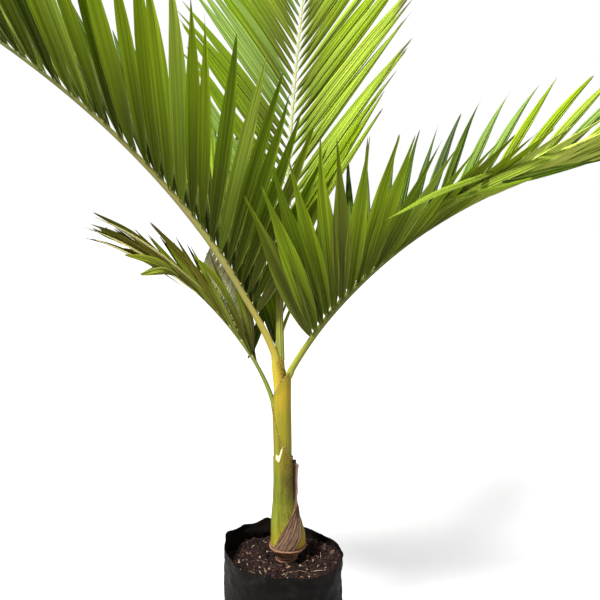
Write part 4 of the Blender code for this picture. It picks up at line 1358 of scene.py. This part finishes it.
def make_stalk(name, frond, materials):
    """The whole rib from the keel to the tip as one skin."""
    t, points, along, above, aside = rib_curve(frond, 90)
    loops = keel_loops(name, points[0], rib_radius(frond, 0.0)) if name in KEEL_BASES else []
    lead = len(loops)
    for k in range(len(t)):
        radius = rib_radius(frond, t[k])
        channel = 0.42 * float(eased(1 - (t[k] - frond["bare"]) / 0.12))
        ridge = 1 + 0.25 * float(eased((t[k] - frond["bare"]) / 0.15))
        loops.append(stalk_loop(points[k], aside[k], above[k], radius, radius * ridge, channel))
    loops = np.array(loops)
    count = len(loops)
    length = np.concatenate([-KEEL * np.linspace(1, 0, lead, endpoint=False), t * frond["length"]])
    flow = np.zeros_like(loops)
    flow[..., 0] = np.linspace(0, 2 * math.pi, STALK_SIDES, endpoint=False)[None, :] * frond["thick"][0]
    flow[..., 1] = length[:, None]
    tone = np.repeat(np.clip(length / frond["length"], 0, 1)[:, None], STALK_SIDES, axis=1)
    under = np.repeat((0.5 - 0.5 * np.sin(np.linspace(0, 2 * math.pi, STALK_SIDES, endpoint=False)))[None, :],
                      count, axis=0)
    caps = [tuple(reversed(range(STALK_SIDES))), tuple((count - 1) * STALK_SIDES + j for j in range(STALK_SIDES))]
    heap = Heap()
    heap.add(loops.reshape(-1, 3), net_faces(count, STALK_SIDES) + caps, flow=flow.reshape(-1, 3),
             tone=tone.ravel(), under=under.ravel())
    return heap.piece(name + "_stalk", materials, sharp=70)


def stalk_material(name, foot, middle, tip):
    """Smooth green stalk that changes colour from its foot to its tip."""
    material, tree, shader = start_material(name, 0.42, Specular_IOR_Level=0.25)
    flow = flow_mark(tree)
    broad = effect(tree, STREAKS, Flow=flow, Across=260.0, Along=6.0, Contrast=0.25)
    fine = effect(tree, STREAKS, Flow=flow, Across=2200.0, Along=10.0, Contrast=0.28)
    run = mark(tree, "tone")
    colour = blend_colours(tree, spread(tree, run, 0.0, 0.16), foot, middle)
    colour = blend_colours(tree, spread(tree, run, 0.18, 0.70), colour, tip)
    colour = blend_colours(tree, reckon(tree, "MULTIPLY", broad, 0.28), colour, (0.50, 0.48, 0.14))
    colour = blend_colours(tree, reckon(tree, "MULTIPLY", fine, 0.16), colour, (0.12, 0.13, 0.03))
    scars = effect(tree, BLOTCHES, Scale=95.0, Cover=0.16, Softness=0.04)
    colour = blend_colours(tree, reckon(tree, "MULTIPLY", scars, 0.35), colour, (0.14, 0.09, 0.03))
    paint(tree, shader, colour)
    relief(tree, shader, fine, 0.0003, 0.6)
    return material


STALK_SKINS = {
    "frond_left": stalk_material("stalk_gold", (0.58, 0.45, 0.040), (0.38, 0.34, 0.090), (0.20, 0.22, 0.055)),
    # Painted shade: the right frond's rib darkens to near black along its length, standing for its shaded underside.
    "frond_right": stalk_material("stalk_green_shaded", (0.34, 0.36, 0.030), (0.13, 0.15, 0.016), (0.040, 0.048, 0.010)),
    "frond_centre": stalk_material("stalk_pale", (0.26, 0.29, 0.045), (0.36, 0.42, 0.12), (0.46, 0.54, 0.24)),
    "frond_back": stalk_material("stalk_young", (0.42, 0.44, 0.030), (0.40, 0.45, 0.030), (0.20, 0.26, 0.04)),
    "frond_low": stalk_material("stalk_old", (0.19, 0.29, 0.018), (0.15, 0.18, 0.020), (0.11, 0.10, 0.025)),
}
LEAF_SLOTS = {
    "frond_left": "leaf_green",
    "frond_right": "leaf_bright",
    "frond_centre": "leaf_green",
    "frond_back": "leaf_green",
    "frond_low": "leaf_old",
}
for frond_name, frond in FRONDS.items():
    dress(make_stalk(frond_name, frond, [STALK_SKINS[frond_name]]), LEAF_SLOTS[frond_name], frond_name)

# %% [markdown]
# ### Leaflets
# A leaflet is a long strap with a strong midrib and two or three weaker folds on each side, so light falls on
# it in bands. It is folded like a roof at its foot, opens flat in the middle and closes again at its tip.
# Each blade is a closed skin of eleven lines of points above and eleven below, half a millimetre thick. Small
# seeded changes of width, fold, twist and droop keep the rows from looking stamped.

# %% Leaflet form
LINE_HOPS = 24
ACROSS = np.array((-1.0, -0.93, -0.72, -0.48, -0.24, 0.0, 0.24, 0.48, 0.72, 0.93, 1.0))
PLEATS = np.array((-0.2, -0.4, 0.8, -0.6, 0.5, -1.0, 0.5, -0.6, 0.8, -0.4, -0.2))
LINES = len(ACROSS)
PLEAT_DEPTH = 0.0020
BLADE_THICK = 0.0006
OUTLINE_AT = (0.0, 0.03, 0.10, 0.22, 0.42, 0.60, 0.74, 0.85, 0.93, 0.975, 1.0)
OUTLINE_WIDE = (0.22, 0.40, 0.66, 0.88, 1.0, 0.92, 0.72, 0.46, 0.23, 0.10, 0.02)
OUTLINE_DRIP = (0.22, 0.40, 0.68, 0.94, 1.0, 0.70, 0.34, 0.17, 0.10, 0.06, 0.02)
CLOSED_AT = (0.0, 0.08, 0.30, 0.70, 1.0)
CLOSED_BY = (64.0, 50.0, 36.0, 32.0, 44.0)
TIP_SWEEP = 2.4
STRAY_FACES = np.array((-0.25, -0.80, 0.55))
FOOT_ZONE = 0.28
STATIONS = np.concatenate([np.linspace(0, 0.12, 4), np.linspace(0.18, 0.84, 9), np.linspace(0.89, 1, 5)])


def leaflet_plan(frond):
    """Where each leaflet springs, how it points and how long it is."""
    t, points, along, above, aside = rib_curve(frond)
    plan = []
    for side in (1, -1):
        row = 0 if side > 0 else 1
        pairs = frond["pairs"][row]
        for i in range(pairs):
            u = (i + 0.5 * row) / (pairs - 0.5)
            s = frond["bare"] + (ROW_END - frond["bare"]) * u ** frond["crowd"]
            length = frond["leaflet"] * float(np.interp(u, LENGTH_ALONG, frond["lengths"]))
            wide_here = LEAFLET_WIDTH * (0.55 + 0.45 * length / 0.47)
            plan.append({
                "side": side, "order": i, "share": u,
                "root": at(t, points, s), "radius": rib_radius(frond, s),
                "along": unit(at(t, along, s)), "above": unit(at(t, above, s)), "aside": unit(at(t, aside, s)),
                "open": float(np.interp(u, ANGLE_ALONG, frond["open"][row])),
                "vee": float(np.interp(u, ANGLE_ALONG, frond["vee"][row])), "length": length,
                "droop": frond["droop"], "tip": frond["tip"],
                "wide": wide_here * float(np.interp(u, WIDTH_ALONG, frond["width"][row])),
                "twist": side * (frond["twist"][0] + (frond["twist"][1] - frond["twist"][0]) * u ** 0.6),
            })
    return plan


def leaflet_line(leaf, rng):
    """The middle line of a leaflet with its across and upper directions at each station."""
    opened = math.radians(leaf["open"] + rng.normal(0, 1.0))
    vee = math.radians(leaf["vee"] + rng.normal(0, 1.6))
    outward = math.cos(vee) * leaf["side"] * leaf["aside"] + math.sin(vee) * leaf["above"]
    heading = unit(math.cos(opened) * leaf["along"] + math.sin(opened) * outward)
    line = [leaf["root"] + leaf["radius"] * 0.55 * outward]
    headings = [heading]
    hop = leaf["length"] / LINE_HOPS
    droop = leaf["droop"] * rng.uniform(0.85, 1.3)
    sway = rng.normal(0, 0.12)
    curl = rng.uniform(-0.2, 1.0)
    for k in range(LINE_HOPS):
        line.append(line[-1] + heading * hop)
        sweep = TIP_SWEEP * leaf["tip"] * hop * float(eased((k / LINE_HOPS - 0.55) / 0.2)) * curl
        heading = unit(heading - np.array([0, 0, droop * hop]) + leaf["along"] * (sway * hop + sweep))
        headings.append(heading)
    fine = np.linspace(0, 1, LINE_HOPS + 1)
    twist = math.radians(leaf["twist"] + rng.normal(0, 2.5))
    wring = math.radians(rng.normal(0, 5.0))
    rows = []
    for s in STATIONS:
        point = at(fine, np.array(line), s)
        h = unit(at(fine, np.array(headings), s))
        flat = unit(leaf["along"] - (leaf["along"] @ h) * h)
        facing = np.cross(h, flat)
        turn = twist + wring * s * s
        across = math.cos(turn) * flat + math.sin(turn) * facing
        rows.append((point, across, np.cross(h, across) * leaf["side"]))
    return rows


def stray_line(places):
    """Stations along a leaflet that lies its own way, with its upper face to the front."""
    coarse = np.array(places)
    share = np.linspace(0, 1, len(coarse))
    line = np.array([at(share, coarse, s) for s in np.linspace(0, 1, 41)])
    for _ in range(30):
        line[1:-1] = (line[:-2] + 2 * line[1:-1] + line[2:]) / 4
    headings = np.gradient(line, axis=0)
    fine = np.linspace(0, 1, 41)
    rows = []
    for s in STATIONS:
        h = unit(at(fine, headings, s))
        across = unit(np.cross(h, STRAY_FACES))
        rows.append((at(fine, line, s), across, np.cross(across, h)))
    return rows, float(np.linalg.norm(np.diff(line, axis=0), axis=1).sum())


def leaflet_skin(leaf, rows, rng):
    """Points, faces and marks of one pleated blade over its middle line."""
    stretch = rng.uniform(0.90, 1.08)
    drip = leaf["tip"] * float(eased(1.4 - 2.2 * leaf["share"]))
    outline = (1 - drip) * np.array(OUTLINE_WIDE) + drip * np.array(OUTLINE_DRIP)
    tip_cut = rng.uniform(0.92, 1.05)
    loops = []
    flow = []
    tone = []
    rim = []
    seed = rng.uniform(0, 30)
    fold = rng.uniform(0.75, 1.2)
    both = np.concatenate([ACROSS, ACROSS[::-1]])
    for s, (point, across, upper) in zip(STATIONS, rows):
        wide = float(np.interp(s * tip_cut, OUTLINE_AT, outline)) if s < 1 else OUTLINE_WIDE[-1]
        half = leaf["wide"] * stretch * wide / 2
        closed = math.radians(float(np.interp(s, CLOSED_AT, CLOSED_BY)) * fold)
        reach = ACROSS * half * math.cos(closed)
        drop = -np.abs(ACROSS) * half * math.sin(closed) + PLEATS * PLEAT_DEPTH * wide
        thick = BLADE_THICK * (1 - 0.5 * np.abs(ACROSS))
        top = point + np.outer(reach, across) + np.outer(drop + thick / 2, upper)
        bottom = point + np.outer(reach, across) + np.outer(drop - thick / 2, upper)
        loops.append(np.concatenate([top, bottom[::-1]]))
        spot = np.stack([ACROSS * half, np.full(LINES, s * leaf["length"]), np.full(LINES, seed)], axis=1)
        flow.append(np.concatenate([spot, spot[::-1]]))
        tone.append(np.full(2 * LINES, s))
        # The rim mark is a painted highlight on the blade's edges near its foot, where the curled margins catch light.
        rim.append((np.abs(both) > 0.99) * float(eased(1 - (s - 0.15) / 0.45)))
    under = np.tile(np.concatenate([np.zeros(LINES), np.ones(LINES)]), len(STATIONS))
    loop = 2 * LINES
    last = (len(STATIONS) - 1) * loop
    faces = net_faces(len(STATIONS), loop)
    zone = [int(STATIONS[k // loop] >= FOOT_ZONE) for k in range(len(faces))]
    faces += [(loop - 1 - k, loop - 2 - k, 1 + k, k) for k in range(LINES - 1)]
    faces += [(last + k, last + k + 1, last + loop - 2 - k, last + loop - 1 - k) for k in range(LINES - 1)]
    zone += [0] * (LINES - 1) + [1] * (LINES - 1)
    marks = {"flow": np.concatenate(flow), "tone": np.concatenate(tone), "under": under,
             "rim": np.concatenate(rim), "dry": eased((np.concatenate(tone) - leaf["dry"]) / 0.07)}
    return np.concatenate(loops), faces, zone, marks


# %% [markdown]
# ### Leaf colours
# The greens of the palm change from leaf to leaf and from row to row: deep olive where leaflets shade each
# other, which is painted shade, clean green in the open, yellow-green where the sun comes through, which is
# painted light, and a greyer green on undersides, darkened as painted shade. Each is a plain colour with its
# own foot and tip, dealt out leaflet by leaflet; the darker foot is partly painted shade near the rib. Pale
# and dark lines along the blade, partly veins and partly painted highlight and shade of the pleats, and a dry
# point at some tips are added in the material, by the streak group and the `tone` mark.

# %% Leaf materials
# Several of these colours are painted light, not leaf colour: deep is painted shade, grey is underside green darkened
# as painted shade, sunlit, glow and lit are painted light where the sun comes through, and straw and faded are pale
# dry leaflets raised near white as painted light. Every foot is darker than its tip, partly as painted shade near the
# rib.
LEAF_COLOURS = {
    "olive": ((0.135, 0.120, 0.032), (0.250, 0.340, 0.008), 0.40),
    "deep": ((0.034, 0.044, 0.005), (0.068, 0.125, 0.003), 0.06),
    "mid": ((0.078, 0.085, 0.012), (0.190, 0.300, 0.004), 0.12),
    "fresh": ((0.105, 0.120, 0.016), (0.330, 0.470, 0.010), 0.08),
    "sunlit": ((0.190, 0.260, 0.020), (0.440, 0.580, 0.060), 0.06),
    "glow": ((0.420, 0.500, 0.050), (0.640, 0.760, 0.140), 0.02),
    "lit": ((0.590, 0.680, 0.075), (0.830, 0.940, 0.180), 0.02),
    "sage": ((0.100, 0.170, 0.020), (0.270, 0.400, 0.080), 0.06),
    "grey": ((0.042, 0.066, 0.016), (0.092, 0.145, 0.040), 0.06),
    "worn": ((0.075, 0.066, 0.008), (0.125, 0.110, 0.010), 0.06),
    "aged": ((0.100, 0.100, 0.014), (0.190, 0.225, 0.014), 0.08),
    "straw": ((0.820, 0.770, 0.360), (0.980, 0.940, 0.560), 0.10),
    "faded": ((0.680, 0.720, 0.440), (0.720, 0.740, 0.400), 0.10),
}


def leaf_material(name, foot, tip, turns):
    """Satin leaf skin, ribbed with painted highlight and shade, with a foot in painted shade and a bright end."""
    material, tree, shader = start_material("leaf_" + name, 0.50, Specular_IOR_Level=0.09)
    flow = flow_mark(tree)
    veins_and_shade = effect(tree, STREAKS, Flow=flow, Across=380.0, Along=1.4, Contrast=0.12)
    bands = effect(tree, STREAKS, Flow=flow, Across=150.0, Along=1.1, Contrast=0.09)
    run = mark(tree, "tone")
    colour = blend_colours(tree, spread(tree, run, turns, 0.62 + turns), foot, tip)
    # The bands lift the blade towards a brighter green and the veins darken it towards shade: lines that are partly
    # veins and partly painted highlight and painted shade of the pleats.
    bright = tuple(min(1.0, 1.50 * c + lift) for c, lift in zip(tip, (0.055, 0.055, 0.010)))
    shade = tuple(c * (0.22 + 0.40 * c * c) for c in tip)
    strong = spread(tree, run, 0.0, 0.6, 0.22, 0.55)
    colour = blend_colours(tree, reckon(tree, "MULTIPLY", bands, strong), colour, bright)
    colour = blend_colours(tree, reckon(tree, "MULTIPLY", veins_and_shade, 0.56), colour, shade)
    below = reckon(tree, "MULTIPLY", mark(tree, "under"), 0.10)
    colour = blend_colours(tree, below, colour, (0.20, 0.27, 0.03))
    # Pale edges near the foot: a painted highlight.
    colour = blend_colours(tree, reckon(tree, "MULTIPLY", mark(tree, "rim"), 0.75), colour, (0.42, 0.42, 0.14))
    colour = blend_colours(tree, reckon(tree, "MULTIPLY", mark(tree, "dry"), 0.85), colour, (0.20, 0.16, 0.075))
    paint(tree, shader, colour)
    relief(tree, shader, veins_and_shade, 0.0004, 0.8)
    return material


LEAVES = []
for leaf_name, tones in LEAF_COLOURS.items():
    LEAVES.append(leaf_material(leaf_name + "_foot", *tones))
    LEAVES.append(leaf_material(leaf_name + "_end", *tones))
LEAF_ORDER = list(LEAF_COLOURS)
print("leaf colours", LEAF_ORDER)

# %% Which leaflets take which colour
# Painted light is dealt out here too: lit and glow on the right frond's near row, and deep and grey where leaflets lie
# in shade.
DEALING = {
    "frond_left": {
        -1: ((0.16, ("olive", "mid", "olive")), (0.60, ("fresh", "mid", "fresh", "fresh", "sunlit")),
             (1.0, ("fresh", "deep", "mid", "fresh"))),
        1: ((0.16, ("deep", "mid")), (1.0, ("deep", "mid", "deep"))),
    },
    "frond_right": {
        1: ((0.24, ("olive", "olive", "mid", "fresh")), (0.40, ("olive", "mid", "fresh", "sunlit")),
            (1.0, ("lit", "glow", "lit", "mid", "lit", "glow"))),
        -1: ((0.12, ("olive", "deep")), (0.36, ("grey", "deep", "grey")), (0.48, ("mid", "sage", "deep")),
             (1.0, ("sunlit", "fresh", "sage", "sunlit"))),
    },
    "frond_centre": {
        1: ((0.34, ("sunlit", "fresh", "sunlit")), (0.6, ("fresh", "sunlit", "fresh")), (1.0, ("fresh", "sage"))),
        -1: ((0.4, ("mid", "sage")), (1.0, ("sage", "fresh", "sage", "mid"))),
    },
    "frond_back": {1: ((1.0, ("grey", "deep")),), -1: ((1.0, ("deep", "mid")),)},
    "frond_low": {
        1: ((1.0, ("worn", "worn", "olive")),),
        -1: ((1.0, ("worn", "olive", "worn")),),
    },
}


def deal_colour(name, leaf, rng):
    """The colour of one leaflet, by its frond, its row and how far out it springs."""
    for limit, choices in DEALING[name][leaf["side"]]:
        if leaf["share"] <= limit:
            return LEAF_ORDER.index(choices[int(rng.integers(len(choices)))])
    return 0


# %% [markdown]
# The midrib and the foot of a leaflet are their own pieces. The midrib is a fine pale cord along the fold,
# standing a little proud on both faces, and the foot is a small cream swelling where the leaflet is
# joined to the rib. Seen from a step away these are the pale ticks and lines along every frond.

# %% Midribs and leaflet feet
MIDRIB = 0.00115
FOOT_LENGTH = 0.013
FOOT_WIDE = 0.0030


def midrib_skin(leaf, rows):
    """A thin four-sided cord along the fold."""
    loops = []
    for s, (point, across, upper) in zip(STATIONS[:-2], rows[:-2]):
        r = MIDRIB * (1 - 0.82 * s) * (0.4 + 0.6 * leaf["wide"] / LEAFLET_WIDTH)
        lift = point - upper * PLEAT_DEPTH * 0.6
        loops.append([lift - across * r, lift - upper * r * 1.15, lift + across * r, lift + upper * r * 1.15])
    count = len(loops)
    caps = [(3, 2, 1, 0), tuple(4 * (count - 1) + j for j in range(4))]
    return np.array(loops).reshape(-1, 3), net_faces(count, 4) + caps


def foot_skin(leaf, rows):
    """The swollen joint between leaflet and rib."""
    start, across, upper = rows[0]
    heading = unit(rows[2][0] - start)
    angle = np.linspace(0, 2 * math.pi, 8, endpoint=False)
    loops = []
    for s, wide in ((-0.25, 0.4), (0.0, 0.9), (0.22, 1.0), (0.5, 0.72), (0.8, 0.42), (1.0, 0.12)):
        r = FOOT_WIDE * wide * (0.35 + 0.65 * leaf["length"] / 0.48)
        middle = start + heading * FOOT_LENGTH * s - upper * 0.0004
        loops.append(middle + np.outer(np.cos(angle) * r, across) + np.outer(np.sin(angle) * r, upper))
    caps = [tuple(reversed(range(8))), tuple(8 * (len(loops) - 1) + j for j in range(8))]
    return np.concatenate(loops), net_faces(len(loops), 8) + caps


def cord_material(name, low, high):
    """Pale midrib or joint tissue."""
    material, tree, shader = start_material(name, 0.55, Specular_IOR_Level=0.2)
    cloud = effect(tree, BLOTCHES, Scale=60.0, Cover=0.5, Softness=0.2)
    paint(tree, shader, blend_colours(tree, cloud, low, high))
    return material


MIDRIB_SKIN = cord_material("midrib_pale", (0.18, 0.25, 0.030), (0.30, 0.36, 0.080))
JOINT_SKIN = cord_material("joint_cream", (0.46, 0.44, 0.17), (0.66, 0.64, 0.32))


def make_leaflets(name, frond, seed):
    """All blades of a frond, their midribs and their feet."""
    rng = np.random.default_rng(seed)
    blades = Heap()
    ribs = Heap()
    feet = Heap()
    for leaf in leaflet_plan(frond):
        leaf_seed = int(rng.integers(1 << 30))
        pick = deal_colour(name, leaf, rng)
        frayed = name == "frond_centre" and leaf["side"] > 0 and 0.08 < leaf["share"] < 0.75
        leaf["dry"] = rng.uniform(0.86, 0.94) if frayed else rng.uniform(0.93, 1.02)
        own = np.random.default_rng(leaf_seed)
        rows = leaflet_line(leaf, own)
        verts, faces, zone, marks = leaflet_skin(leaf, rows, own)
        blades.add(verts, faces, [2 * pick + z for z in zone], **marks)
        ribs.add(*midrib_skin(leaf, rows))
        feet.add(*foot_skin(leaf, rows))
    for wide, colour, places in STRAYS.get(name, ()):
        rows, length = stray_line(places)
        leaf = {"wide": wide, "length": length, "tip": 0.0, "share": 1.0, "dry": 0.95}
        verts, faces, zone, marks = leaflet_skin(leaf, rows, rng)
        pick = LEAF_ORDER.index(colour)
        blades.add(verts, faces, [2 * pick + z for z in zone], **marks)
        ribs.add(*midrib_skin(leaf, rows))
    slot = LEAF_SLOTS[name]
    dress(blades.piece(name + "_leaflets", LEAVES, sharp=60), slot)
    dress(ribs.piece(name + "_midribs", [MIDRIB_SKIN], sharp=95), slot)
    dress(feet.piece(name + "_joints", [JOINT_SKIN], sharp=60), slot)


for number, (frond_name, frond) in enumerate(FRONDS.items()):
    make_leaflets(frond_name, frond, 101 + number)
